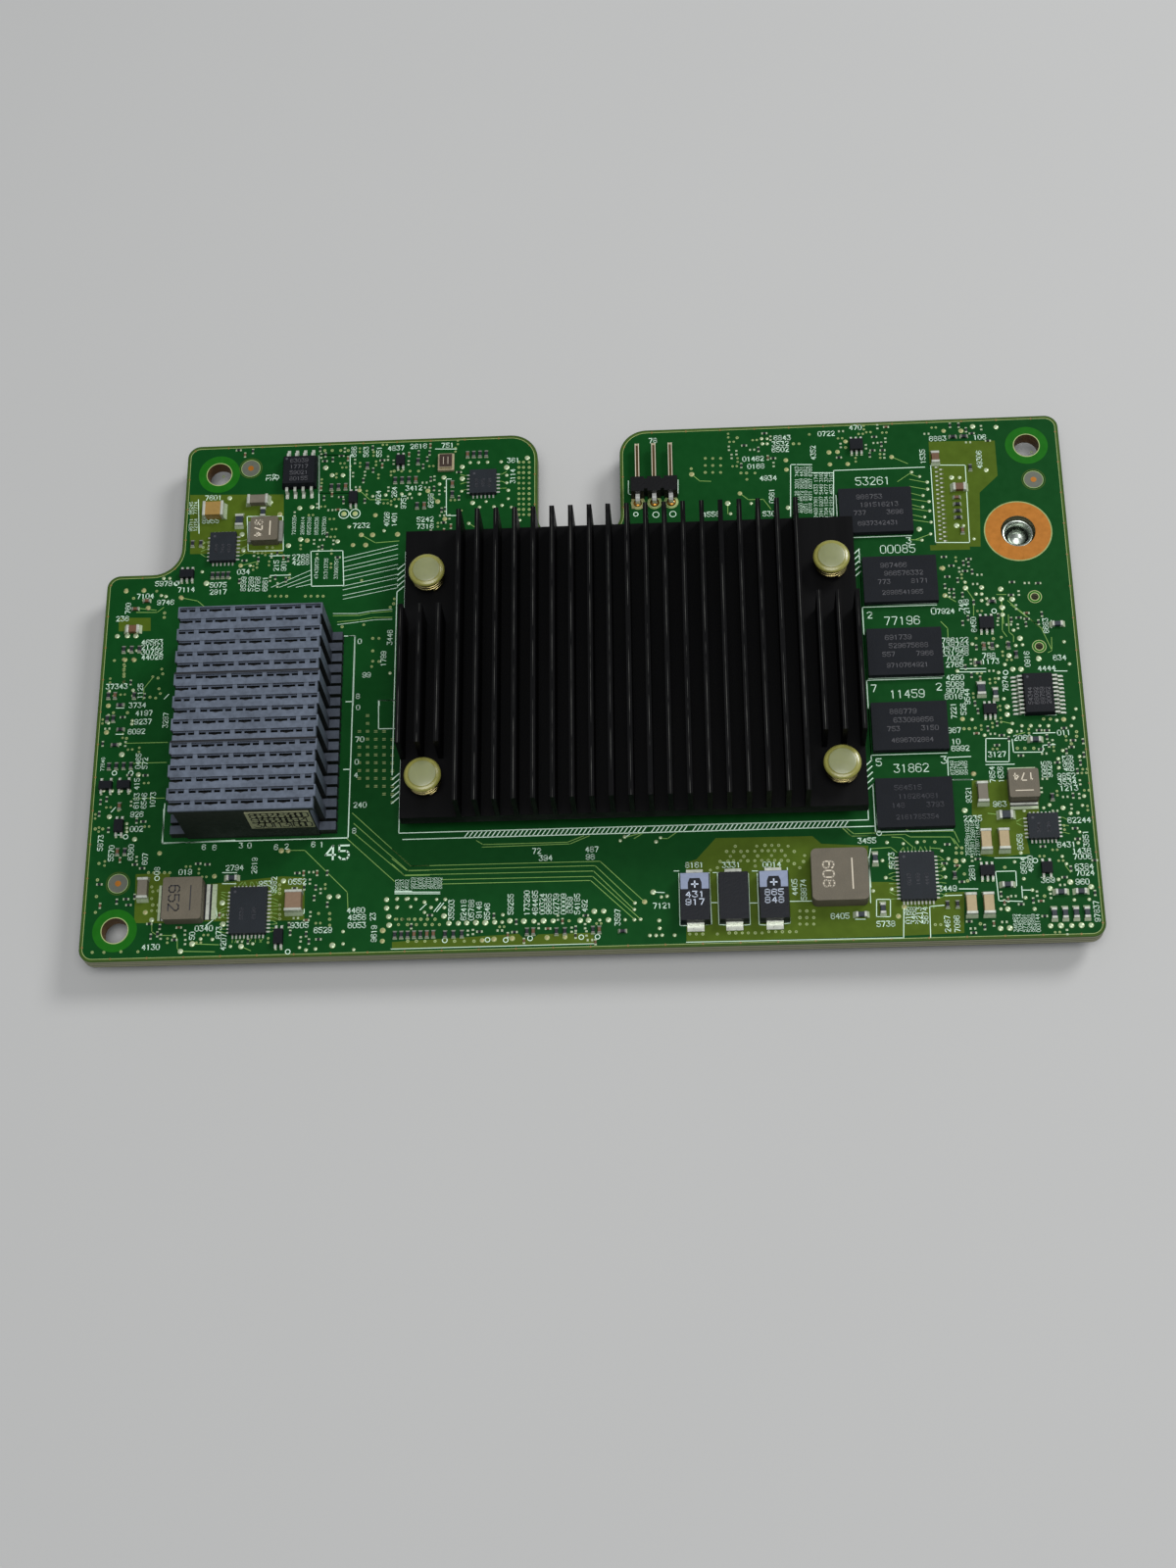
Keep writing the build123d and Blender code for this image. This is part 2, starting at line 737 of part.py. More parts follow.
# Ceramic capacitors, by colour. Rows read x, y, count, step in x and step in y.
tan_upright = [
    (right_edge - 15.85, front_edge + 14.7, 2, 2.55, 0),
    (right_edge - 18.6, front_edge + 5.1, 2, 2.45, 0),
]
tan_broad_upright = [
    (left_edge + 30.95, front_edge + 8.15, 1, 0, 0),
]
tan_broad_flat = [
    (left_edge + 15.9, back_edge - 11.8, 1, 0, 0),
]
grey_upright = [
    (left_edge + 8.85, front_edge + 10.8, 1, 0, 0),
    (right_edge - 15.8, front_edge + 22.0, 1, 0, 0),
]
grey_flat = [
    (left_edge + 22.7, back_edge - 10.2, 1, 0, 0),
]
brown_upright = [
    (right_edge - 19.0, back_edge - 6.8, 1, 0, 0),
]
brown_flat = [
    (left_edge + 4.5, back_edge - 31.6, 1, 0, 0),
    (right_edge - 15.7, back_edge - 12.1, 1, 0, 0),
]

with BuildPart() as tan_capacitors:
    chips(tan_upright, large_case, True)
    chips(tan_broad_upright, broad_case, True)
    chips(tan_broad_flat, broad_case, False)
tan_capacitors.part.label = "tan_capacitors"
export_step(tan_capacitors.part, "parts/tan_capacitors.step")

with BuildPart() as grey_capacitors:
    chips(grey_upright, large_case, True)
    chips(grey_flat, large_case, False)
grey_capacitors.part.label = "grey_capacitors"
export_step(grey_capacitors.part, "parts/grey_capacitors.step")

with BuildPart() as brown_capacitors:
    chips(brown_upright, medium_case, True)
    chips(brown_flat, medium_case, False)
brown_capacitors.part.label = "brown_capacitors"
export_step(brown_capacitors.part, "parts/brown_capacitors.step")

# Chip resistors
resistor_small_upright = [
    (right_edge - 7.1, front_edge + 3.5, 4, 1.53, 0),
    (right_edge - 31.0, front_edge + 4.9, 1, 0, 0),
    (right_edge - 31.7, front_edge + 12.5, 1, 0, 0),
    (right_edge - 12.8, -4.5, 1, 0, 0),
    (left_edge + 23.5, back_edge - 12.2, 1, 0, 0),
]
resistor_small_flat = [
    (right_edge - 7.6, front_edge + 30.2, 1, 0, 0),
    (right_edge - 34.1, front_edge + 4.1, 1, 0, 0),
    (right_edge - 13.3, front_edge + 8.0, 1, 0, 0),
    (right_edge - 5.9, front_edge + 6.7, 2, 2.8, 0),
    (right_edge - 2.9, 6.5, 1, 0, 0),
    (left_edge + 21.7, front_edge + 12.2, 1, 0, 0),
]
resistor_medium_upright = [
    (right_edge - 14.8, -3.7, 1, 0, 0),
    (left_edge + 19.9, back_edge - 13.5, 1, 0, 0),
]
resistor_medium_flat = [
    (right_edge - 12.7, front_edge + 18.6, 1, 0, 0),
]

with BuildPart() as resistors:
    chips(resistor_small_upright, small_case, True)
    chips(resistor_small_flat, small_case, False)
    chips(resistor_medium_upright, medium_case, True)
    chips(resistor_medium_flat, medium_case, False)
resistors.part.label = "resistors"
export_step(resistors.part, "parts/resistors.step")

# The smallest parts, in rows: x, y, count, step in x and step in y
tiny_upright = [
    (left_edge + 45.6, front_edge + 2.9, 7, 0.92, 0),
    (left_edge + 52.8, front_edge + 2.8, 3, 1.2, 0),
    (left_edge + 64.5, front_edge + 2.9, 2, 0.9, 0),
    (left_edge + 68.7, front_edge + 2.8, 2, 1.2, 0),
    (left_edge + 73.9, front_edge + 2.9, 2, 0.9, 0),
    (left_edge + 55.1, back_edge - 3.2, 4, 0.97, 0),
    (left_edge + 43.9, back_edge - 7.3, 4, 1.07, 0),
    (left_edge + 34.0, back_edge - 8.1, 3, 1.1, 0),
    (left_edge + 47.4, back_edge - 11.9, 2, 1.1, 0),
    (left_edge + 3.3, 7.3, 3, 1.2, 0),
    (left_edge + 16.2, back_edge - 22.8, 4, 0.8, 0),
    (left_edge + 12.8, back_edge - 17.2, 2, 1.3, 0),
    (left_edge + 47.4, back_edge - 4.1, 1, 0, 0),
    (left_edge + 39.5, back_edge - 4.5, 1, 0, 0),
    (left_edge + 52.8, back_edge - 8.3, 2, 0, -1.8),
    (right_edge - 13.8, back_edge - 8.7, 1, 0, 0),
    (right_edge - 15.7, back_edge - 19.5, 1, 0, 0),
    (right_edge - 13.9, 3.3, 2, 1.2, 0),
    (right_edge - 10.3, 3.3, 2, 1.0, -1.5),
    (right_edge - 21.9, front_edge + 5.3, 2, 1.4, 0),
    (right_edge - 5.9, front_edge + 21.2, 1, 0, 0),
    (right_edge - 20.6, front_edge + 9.7, 1, 0, 0),
    (left_edge + 1.5, -0.3, 2, 1.0, 0),
    (left_edge + 5.4, -0.4, 1, 0, 0),
    (left_edge + 1.6, -4.1, 2, 0.9, 0),
    (left_edge + 2.4, front_edge + 30.4, 4, 1.1, 0),
    (left_edge + 4.4, front_edge + 24.0, 1, 0, 0),
    (left_edge + 4.6, front_edge + 16.8, 2, 1.1, 0),
]
tiny_flat = [
    (left_edge + 4.6, back_edge - 28.1, 2, 1.7, 1.3),
    (right_edge - 16.1, back_edge - 3.2, 2, 1.7, 0),
    (right_edge - 16.2, back_edge - 13.8, 4, 0, -1.15),
    (right_edge - 12.2, back_edge - 31.6, 1, 0, 0),
    (right_edge - 15.0, 0.6, 1, 0, 0),
    (left_edge + 3.4, -1.9, 1, 0, 0),
    (left_edge + 3.7, -5.9, 1, 0, 0),
    (left_edge + 3.0, -8.4, 1, 0, 0),
    (left_edge + 78.1, front_edge + 2.6, 1, 0, 0),
]
with BuildPart() as tiny_parts:
    chips(tiny_upright, tiny_case, True)
    chips(tiny_flat, tiny_case, False)
tiny_parts.part.label = "tiny_parts"
export_step(tiny_parts.part, "parts/tiny_parts.step")
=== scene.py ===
import bpy
import math
import random
from mathutils import Euler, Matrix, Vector


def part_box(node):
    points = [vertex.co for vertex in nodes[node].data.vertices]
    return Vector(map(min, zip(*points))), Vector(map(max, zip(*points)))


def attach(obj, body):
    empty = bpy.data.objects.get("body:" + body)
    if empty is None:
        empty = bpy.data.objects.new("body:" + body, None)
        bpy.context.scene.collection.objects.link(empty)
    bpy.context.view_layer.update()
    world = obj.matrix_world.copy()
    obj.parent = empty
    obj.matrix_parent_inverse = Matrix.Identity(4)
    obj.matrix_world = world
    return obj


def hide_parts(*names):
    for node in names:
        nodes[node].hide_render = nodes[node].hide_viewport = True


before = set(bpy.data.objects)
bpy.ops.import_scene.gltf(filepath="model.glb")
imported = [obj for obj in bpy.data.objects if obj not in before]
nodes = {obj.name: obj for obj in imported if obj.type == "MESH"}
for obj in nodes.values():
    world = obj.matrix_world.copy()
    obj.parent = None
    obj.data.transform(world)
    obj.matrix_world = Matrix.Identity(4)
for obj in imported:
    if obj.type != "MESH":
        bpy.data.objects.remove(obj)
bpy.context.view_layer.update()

MM = 0.001
SEED = 7
rng = random.Random(SEED)


def box_mm(name):
    """The two corners of a CAD node's box, in millimetres."""
    return [tuple(c / MM for c in corner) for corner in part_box(name)]


# Faces of the board, read from the frame, and the flat layers on its top face, the lowest first
BOTTOM, TOP = (corner[2] for corner in box_mm("circuit_board"))
POWER, STRIP, STEP, TRACK, OVER_TRACK, UNDER_INK, RIM, LAND, FILM, HOLLOW, PAD, VIA, SQUARE, PLATE, INK, NUMERAL = (
    TOP + height for height in (0.010, 0.012, 0.013, 0.014, 0.015, 0.016, 0.017, 0.018, 0.02, 0.022, 0.024, 0.026,
                                0.028, 0.03, 0.032, 0.034))
POUR_START, POUR_RISE = TOP + 0.006, 0.0002

# Layers of print above the face of a package
PRINT, LASER, OVERPRINT, TOPMOST = 0.004, 0.006, 0.008, 0.012

# The camera of the photograph: a plain pinhole, 1200 by 1600 pixels
FRAME_WIDTH, FRAME_HEIGHT = 1200, 1600
CAM_AT = Vector((17.413, -146.200, 318.546))
CAM_TURN = Euler((math.radians(22.3905), math.radians(3.3043), math.radians(-0.4559)), "XYZ")
FOCAL_PX = 2375.81


def at(u, v):
    """The point of the board's top face, in mm, that the photograph shows at pixel u, v."""
    ray = CAM_TURN.to_matrix() @ Vector(((u - FRAME_WIDTH / 2) / FOCAL_PX, (FRAME_HEIGHT / 2 - v) / FOCAL_PX, -1))
    reach = (TOP - CAM_AT.z) / ray.z
    return CAM_AT.x + ray.x * reach, CAM_AT.y + ray.y * reach


def spot(origin_u, origin_v, scale):
    """A function that turns a place in an enlarged crop into board mm."""
    return lambda a, b: at(origin_u + a / scale, origin_v + b / scale)


def rgb(r, g, b):
    """sRGB numbers of 0 to 255 as a linear colour."""
    shares = [c / 255 for c in (r, g, b)]
    return (*(c / 12.92 if c <= 0.04045 else ((c + 0.055) / 1.055) ** 2.4 for c in shares), 1.0)


class Graph:
    """The shader nodes of one material. An input is a socket, which is linked, or a constant, which is set."""

    def __init__(self, m):
        self.tree = m.node_tree
        self.shader = self.tree.nodes["Principled BSDF"]

    def feed(self, target, inputs):
        for key, value in inputs.items():
            if isinstance(value, bpy.types.NodeSocket):
                self.tree.links.new(value, target.inputs[key])
            else:
                target.inputs[key].default_value = value
        return target

    def node(self, kind, inputs, **settings):
        new = self.tree.nodes.new("ShaderNode" + kind)
        for key, value in settings.items():
            setattr(new, key, value)
        return self.feed(new, inputs)

    def math(self, operation, *values):
        return self.node("Math", dict(enumerate(values)), operation=operation).outputs[0]

    def mix(self, factor, a, b, **settings):
        return self.node("Mix", {"Factor": factor, "A": a, "B": b}, data_type="RGBA", **settings).outputs["Result"]

    def ramp(self, factor, low, high, low_at=0.0, high_at=1.0):
        new = self.node("ValToRGB", {"Fac": factor})
        for element, place, colour in zip(new.color_ramp.elements, (low_at, high_at), (low, high)):
            element.position = place
            element.color = colour
        return new.outputs["Color"]

    def noise(self, scale, detail, vector):
        return self.node("TexNoise", {"Scale": scale, "Detail": detail, "Vector": vector}).outputs["Fac"]

    def coords(self):
        return self.node("TexCoord", {}).outputs["Object"]

    def place(self):
        """Sockets X, Y and Z of the place on the object."""
        return self.node("SeparateXYZ", {0: self.coords()}).outputs

    def normal(self):
        """Sockets X, Y and Z of the way the face looks."""
        return self.node("SeparateXYZ", {0: self.node("NewGeometry", {}).outputs["True Normal"]}).outputs

    def base(self):
        return self.shader.inputs["Base Color"].links[0].from_socket

    def finish(self, **inputs):
        self.feed(self.shader, {key.replace("_", " "): value for key, value in inputs.items()})


ROUGH_DRIFT = 0.12
BROAD_SHARE = 0.12  # the broad noise repeats this much more slowly than the fine one


def material(name, colour, rough=0.5, metal=0.0, drift=0.12, grain=900.0, relief=0.05, coat=0.0, shine=0.5,
             subsurface=0.0, stretch=(1, 1, 1)):
    """A material with its own colour drift, roughness drift and fine relief."""
    m = bpy.data.materials.new(name)
    m.use_nodes = True
    g = Graph(m)
    g.finish(Metallic=metal, Specular_IOR_Level=shine)
    if coat:
        g.finish(Coat_Weight=coat, Coat_Roughness=0.15)
    if subsurface:
        g.finish(Subsurface_Weight=subsurface, Subsurface_Radius=(0.002, 0.002, 0.001), Subsurface_Scale=0.5)
    mapping = g.node("Mapping", {"Scale": stretch, "Vector": g.coords()}).outputs[0]
    broad, fine = g.noise(grain * BROAD_SHARE, 4, mapping), g.noise(grain, 3, mapping)
    linear = rgb(*colour)[:3]
    dark = tuple(c * (1 - drift) for c in linear) + (1,)
    light = tuple(min(1, c * (1 + drift)) for c in linear) + (1,)
    blend = g.math("MULTIPLY_ADD", fine, 0.5, g.math("MULTIPLY", broad, 0.5))
    gloss = g.node("MapRange", {"To Min": max(0.02, rough - ROUGH_DRIFT), "To Max": min(1.0, rough + ROUGH_DRIFT),
                                "Value": fine})
    bump = g.node("Bump", {"Strength": relief, "Distance": 0.0001, "Height": fine})
    g.finish(Base_Color=g.ramp(blend, dark, light, 0.32, 0.68), Roughness=gloss.outputs[0], Normal=bump.outputs[0])
    return m


def board_material():
    """Green solder mask on the two faces, bare laminate with its layers on the walls."""
    m = material("mask_and_laminate", (11, 64, 23), rough=0.42, shine=0.06, drift=0.10, grain=700, relief=0.12)
    g = Graph(m)
    layers = g.math("PINGPONG", g.math("MULTIPLY", g.place()["Z"], 2600), 1)
    wall = g.ramp(layers, rgb(88, 90, 66), rgb(150, 150, 122), 0.15, 0.6)
    sides = g.math("LESS_THAN", g.math("ABSOLUTE", g.normal()["Z"]), 0.5)
    g.finish(Base_Color=g.mix(sides, g.base(), wall))
    return m


def connector_material():
    """Blue-grey plastic with painted shade and light: black in the slots and on low walls that look front or back,
    darkest on the front wall, the rest darker towards the board, and faces that look up kept lighter.
    """
    m = material("connector_plastic", (88, 96, 109), rough=0.5, shine=0.2, drift=0.3, grain=1500, relief=0.25)
    g = Graph(m)
    (x0, _, z0), (x1, _, z1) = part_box("connector_module_1")
    place, normal = g.place(), g.normal()
    off_axis = g.math("ABSOLUTE", g.math("SUBTRACT", place["X"], (x0 + x1) / 2))
    # Painted shade: below the top, black in the slots and on faces that look front or back, darkest on the front wall
    within = g.math("LESS_THAN", off_axis, 9.7 * MM)
    along = g.math("GREATER_THAN", g.math("ABSOLUTE", normal["Y"]), 0.5)
    low = g.math("LESS_THAN", place["Z"], z1 - 0.37 * MM)
    dark = g.math("MULTIPLY", g.math("MAXIMUM", within, along), low)
    inside = g.mix(g.math("LESS_THAN", normal["Y"], -0.5), rgb(7, 8, 13), rgb(34, 37, 34))
    # Painted shade: elsewhere the colour darkens towards the board
    depth = g.node("MapRange", {"From Min": z0, "From Max": z1 - 1.0 * MM, "To Min": 0.16, "To Max": 1.0,
                                "Value": place["Z"]}, interpolation_type="SMOOTHSTEP").outputs[0]
    # Painted light: faces that look up stay at least half bright
    foot = g.math("MULTIPLY", g.math("GREATER_THAN", normal["Z"], 0.5), 0.5)
    shade = g.mix(1.0, g.base(), g.math("MAXIMUM", depth, foot), blend_type="MULTIPLY")
    pocket = g.math("MULTIPLY", g.math("LESS_THAN", place["Z"], z1 - 0.1 * MM), within)
    g.finish(Base_Color=g.mix(dark, g.mix(pocket, shade, rgb(88, 96, 110)), inside))
    return m


def sink_material():
    """Black anodising, with a thin, patchy painted highlight along the top of each fin."""
    m = material("black_anodised", (8, 8, 9), rough=0.45, shine=0.08, drift=0.2, grain=600, relief=0.25,
                 stretch=(1, 0.06, 1))
    g = Graph(m)
    (x0, _, _), (x1, _, z1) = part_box("heat_sink")
    edge = 0.35 * MM
    place = g.place()
    turns = g.math("DIVIDE", g.math("SUBTRACT", place["X"], x0 + edge), (x1 - x0 - 2 * edge) / 24)
    off = g.math("ABSOLUTE", g.math("SUBTRACT", turns, g.math("ROUND", turns)))
    # Painted highlight: a thin bright line on the top of each fin, broken up by noise
    line = g.math("MULTIPLY", g.math("LESS_THAN", off, 0.011), g.math("GREATER_THAN", place["Z"], z1 - 0.06 * MM))
    patchy = g.node("TexNoise", {"Scale": 260, "Vector": g.coords()}).outputs["Fac"]
    painted_glint = g.math("MULTIPLY", line, g.math("MULTIPLY", g.math("SUBTRACT", patchy, 0.38), 3.4))
    g.finish(Base_Color=g.mix(painted_glint, g.base(), rgb(96, 96, 92)))
    return m


def header_pin_material():
    """Gold flat of the pins with a painted sheen, pale at their broken edges, and tinned tails in front of the body."""
    m = material("header_pin_plate", (84, 66, 36), rough=0.3, metal=0.5, drift=0.1, grain=1500)
    g = Graph(m)
    # Painted highlight: a pale sheen on every face that does not look straight up, such as the bevels
    painted_edge_sheen = g.mix(g.math("LESS_THAN", g.normal()["Z"], 0.93), g.base(), rgb(196, 186, 150))
    tail = g.math("LESS_THAN", g.place()["Y"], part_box("header_body")[0][1] + 0.3 * MM)
    g.finish(Base_Color=g.mix(tail, painted_edge_sheen, rgb(226, 228, 222)))
    return m


MASK = board_material()
CLEAR_MASK = material("mask_over_laminate", (26, 96, 20), 0.42, shine=0.06)
POUR = material("mask_over_copper", (72, 92, 24), 0.42, shine=0.06, drift=0.14, grain=700)
EDGE_STRIP = material("mask_edge_strip", (60, 82, 32), shine=0.06, drift=0.2)
# Mask over a trace: lighter from the copper beneath, and lighter still as a painted sheen
TRACE_WITH_SHEEN = material("mask_over_trace_with_sheen", (124, 160, 86), 0.4, shine=0.06, drift=0.15)
BARE_COPPER = material("bare_copper", (166, 102, 16), 0.42, 0.35, 0.10, 1200)
SILK = material("screen_ink", (206, 232, 212), 0.7, drift=0.08, grain=2500, relief=0.2)
TIN = material("tinned_metal", (204, 208, 196), 0.3, 0.55, 0.10, 1500)
SOLDER = material("solder", (176, 190, 158), 0.3, 0.35, grain=2500, relief=0.3)
HEADER_PIN = header_pin_material()
VIA_RIM = material("via_rim", (142, 160, 100), 0.4, 0.2, 0.25, 1500)
VIA_CORE = material("via_core", (86, 92, 56), 0.6, drift=0.2, grain=1500)
SINK = sink_material()
PIN_RIM = material("pin_rim_plastic", (136, 134, 66), 0.3, drift=0.06, grain=500, subsurface=0.25, coat=0.3)
PIN_PLASTIC = material("pin_plastic", (128, 132, 92), 0.38, drift=0.06, grain=500, subsurface=0.25, coat=0.15)
WIRE = material("spring_wire", (206, 190, 130), 0.22, 1.0, 0.1, 2000)
CONNECTOR = connector_material()
STICKER = material("sticker_film", (150, 152, 118), 0.55, drift=0.08)
MEMORY = material("memory_moulding", (20, 23, 28), 0.65, shine=0.14, grain=5000, relief=0.35)
PACKAGE = material("package_moulding", (14, 17, 22), 0.6, shine=0.16, grain=5000, relief=0.35)
FLAT_PACKAGE = material("flat_package_moulding", (28, 33, 38), 0.6, shine=0.2, drift=0.14, grain=5000, relief=0.35)
MARKING = material("laser_marking", (86, 86, 90), 0.7, grain=4000)
POLYMER = material("polymer_case", (12, 15, 22), 0.45, shine=0.25, drift=0.10, grain=4000, relief=0.3)
SILVER_BAND = material("silver_print", (132, 142, 166), 0.4, 0.2, 0.06, 2500)
HEADER = material("header_plastic", (13, 13, 15), shine=0.15, grain=3000, relief=0.3)
CORE = material("pressed_powder", (92, 85, 70), 0.62, grain=5200, relief=0.5)
STEEL = material("plated_steel", (186, 194, 184), 0.3, 1.0, 0.08, 1600)
TAN = material("tan_ceramic", (164, 146, 110), 0.45, drift=0.08, grain=3000)
PINK = material("pink_ceramic", (122, 98, 76), 0.45, drift=0.08, grain=3000)
ORANGE_TAN = material("orange_ceramic", (146, 116, 56), 0.45, drift=0.10, grain=3000)
GREY = material("grey_ceramic", (104, 98, 84), drift=0.10, grain=3000)
BROWN = material("brown_ceramic", (96, 66, 42), 0.45, drift=0.10, grain=3000)
CHIP_BLACK = material("chip_glaze", (28, 30, 36), 0.3, grain=3000)
LAMINATE = material("package_laminate", (30, 84, 44), grain=1500)
LID = material("lid_nickel", (150, 150, 150), 0.35, 0.9, 0.08)
PAD_RUBBER = material("thermal_pad", (140, 140, 150), 0.8, drift=0.08, grain=2500)
FAINT_MARKING = material("faint_marking", (54, 55, 61), 0.7, grain=4000)
CHIP_BLUE = material("chip_coating", (36, 44, 52), 0.35, grain=3000)
MATTE_TIN = material("matte_tin", (128, 130, 122), 0.5, 0.3, 0.10, 2000)
LAND_TAN = material("plated_rim", (156, 152, 104), 0.4, 0.2, grain=2000)
PALE_RIM = material("hole_rim", (160, 172, 112), 0.45, grain=2000)
HOLE_WALL = material("hole_wall", (92, 66, 30), 0.6, drift=0.35, grain=1500)
HEADER_SOLDER = material("header_plating", (150, 106, 34), 0.28, 0.8, 0.2, 1800)
FIDUCIAL = material("fiducial_film", (84, 88, 76), drift=0.1, grain=1500)
EDGE_DOT = material("edge_via", (126, 100, 50), drift=0.2, grain=1500)
BRIGHT_LINE = material("mask_step", (150, 168, 104), 0.42, drift=0.2, grain=1500)
WHITE_INK = material("white_ink", (196, 206, 222), 0.6, drift=0.06, grain=2500)
CREAM_INK = material("cream_ink", (206, 196, 176), 0.6, drift=0.06, grain=2500)
DARK_INK = material("dark_ink", (34, 34, 36), 0.6, drift=0.1, grain=2500)
CAN_RIM = material("can_rim", (176, 164, 134), 0.4, 0.3, 0.1, 2000)
CAN_BROWN = material("can_window", (52, 38, 30), 0.35, drift=0.15, grain=2500)
INNER_DARK = material("slot_shadow", (12, 14, 20), 0.8, drift=0.1, grain=2000)


def dress(names, mat, bevel=0.0, segments=2):
    """Gives CAD nodes their material and, with a modifier, slightly broken edges."""
    for name in names.split():
        o = nodes[name]
        o.data.materials.clear()
        o.data.materials.append(mat)
        if bevel:
            mod = o.modifiers.new("broken_edges", "BEVEL")
            mod.width = bevel * MM
            mod.segments = segments
            mod.limit_method = "ANGLE"
            mod.angle_limit = math.radians(50)


def circle(x, y, r, z, sides):
    """Points round a level circle."""
    return [(x + r * math.cos(2 * math.pi * i / sides), y + r * math.sin(2 * math.pi * i / sides), z)
            for i in range(sides)]


def band(a, b, sides):
    """Faces between two closed rows of points that start at a and b."""
    return [[a + i, a + (i + 1) % sides, b + (i + 1) % sides, b + i] for i in range(sides)]


def octagon(x0, y0, x1, y1, c, z):
    """Points of a rectangle with cut corners."""
    return [(x0 + c, y0, z), (x1 - c, y0, z), (x1, y0 + c, z), (x1, y1 - c, z),
            (x1 - c, y1, z), (x0 + c, y1, z), (x0, y1 - c, z), (x0, y0 + c, z)]


class Mesh:
    """Collects faces in millimetres and makes one object of them."""

    def __init__(self, down=False):
        self.points, self.faces, self.slots, self.smooth = [], [], [], []
        self.down = down

    def add(self, points, faces, slot=0, smooth=False):
        start = len(self.points)
        self.points.extend(points)
        for face in faces:
            self.faces.append([start + i for i in (face[::-1] if self.down else face)])
            self.slots.append(slot)
            self.smooth.append(smooth)

    def flat(self, outline, z, slot=0):
        area = sum(outline[i][0] * outline[i - 1][1] - outline[i - 1][0] * outline[i][1]
                   for i in range(len(outline)))
        points = outline if area < 0 else outline[::-1]
        self.add([(x, y, z) for x, y in points], [list(range(len(points)))], slot)

    def rect(self, x, y, length, depth, z, turn=0.0, slot=0):
        c, s = math.cos(turn), math.sin(turn)
        self.flat([(x + a * length / 2 * c - b * depth / 2 * s, y + a * length / 2 * s + b * depth / 2 * c)
                   for a, b in ((-1, -1), (1, -1), (1, 1), (-1, 1))], z, slot)

    def line(self, points, width, z, slot=0):
        for (x0, y0), (x1, y1) in zip(points, points[1:]):
            long = math.hypot(x1 - x0, y1 - y0)
            if long > 1e-6:
                turn = math.atan2(y1 - y0, x1 - x0)
                self.rect((x0 + x1) / 2, (y0 + y1) / 2, long + width * 0.8, width, z, turn, slot)

    def disc(self, x, y, r, z, sides=14, slot=0):
        self.flat([point[:2] for point in circle(x, y, r, z, sides)], z, slot)

    def ring(self, x, y, inner, outer, z, sides=32, slot=0):
        self.add(circle(x, y, inner, z, sides) + circle(x, y, outer, z, sides),
                 [[i, sides + i, sides + (i + 1) % sides, (i + 1) % sides] for i in range(sides)], slot)

    def dome(self, x, y, r, height, z, sides=10, slot=0):
        points = []
        for share, level in ((1.0, 0.0), (0.8, 0.6), (0.42, 0.93)):
            points += circle(x, y, r * share, z + height * level, sides)
        top = [[2 * sides + i, 2 * sides + (i + 1) % sides, 3 * sides] for i in range(sides)]
        self.add(points + [(x, y, z + height)], band(0, sides, sides) + band(sides, 2 * sides, sides) + top, slot, True)

    def box(self, lo, hi, ease=0.0, slot=0):
        """A box whose upper edges and upright corners are eased by a small bevel."""
        (x0, y0, z0), (x1, y1, z1) = lo, hi
        e = min(ease, (x1 - x0) / 3, (y1 - y0) / 3, (z1 - z0) / 2)
        points = []
        for inward, z in ((0, z0), (0, z1 - e), (e * 0.7, z1 - e * 0.25), (e, z1)):
            points += octagon(x0 + inward, y0 + inward, x1 - inward, y1 - inward, max(e * 0.6, 0.001), z)
        faces = [list(range(7, -1, -1)), list(range(24, 32))]
        self.add(points, faces + band(0, 8, 8) + band(8, 16, 8) + band(16, 24, 8), slot)

    def wedge(self, x0, y0, x1, y1, low, high, side, slot=0):
        """A solder fillet on a rectangle, high along one side: 0 right, 1 back, 2 left, 3 front."""
        corners = [(x0, y0), (x1, y0), (x1, y1), (x0, y1)]
        raised = ((side + 1) % 4, (side + 2) % 4)
        points = [(x, y, TOP) for x, y in corners]
        points += [(x, y, TOP + (high if i in raised else low)) for i, (x, y) in enumerate(corners)]
        self.add(points, [[4, 5, 6, 7]] + band(0, 4, 4), slot)

    def lathe(self, x, y, profile, sides=48, slot=0):
        """A turned form about an upright axis, from (radius, z) points."""
        points, faces = [], []
        for r, z in profile:
            points += circle(x, y, max(r, 0.0005), z, sides)
        for row in range(len(profile) - 1):
            faces += band(row * sides, (row + 1) * sides, sides)
        self.add(points, faces, slot, True)

    def digits(self, x, y, text, height, turn, z, slot=0, weight=0.13, narrow=1.0):
        """Plain numerals drawn with pen strokes, centred on x, y."""
        unit = height / 6
        step = unit * 5.6 * narrow
        c, s = math.cos(turn), math.sin(turn)
        start = -(len(text) * step - unit * 1.6 * narrow) / 2
        for place, letter in enumerate(text):
            for stroke in STROKES[letter]:
                pen = []
                for a, b in stroke:
                    px = start + place * step + a * unit * narrow
                    py = (b - 3) * unit
                    pen.append((x + px * c - py * s, y + px * s + py * c))
                self.line(pen, weight, z, slot)

    def make(self, name, materials, slot_name, replaced=None):
        """Makes the piece. It stands in for the CAD node that is named last."""
        data = bpy.data.meshes.new(name)
        data.from_pydata([(x * MM, y * MM, z * MM) for x, y, z in self.points], [], self.faces)
        for mat in materials:
            data.materials.append(mat)
        for polygon, index, smooth in zip(data.polygons, self.slots, self.smooth):
            polygon.material_index = index
            polygon.use_smooth = smooth
        o = bpy.data.objects.new(name, data)
        bpy.context.scene.collection.objects.link(o)
        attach(o, "root")
        if replaced:
            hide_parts(replaced)


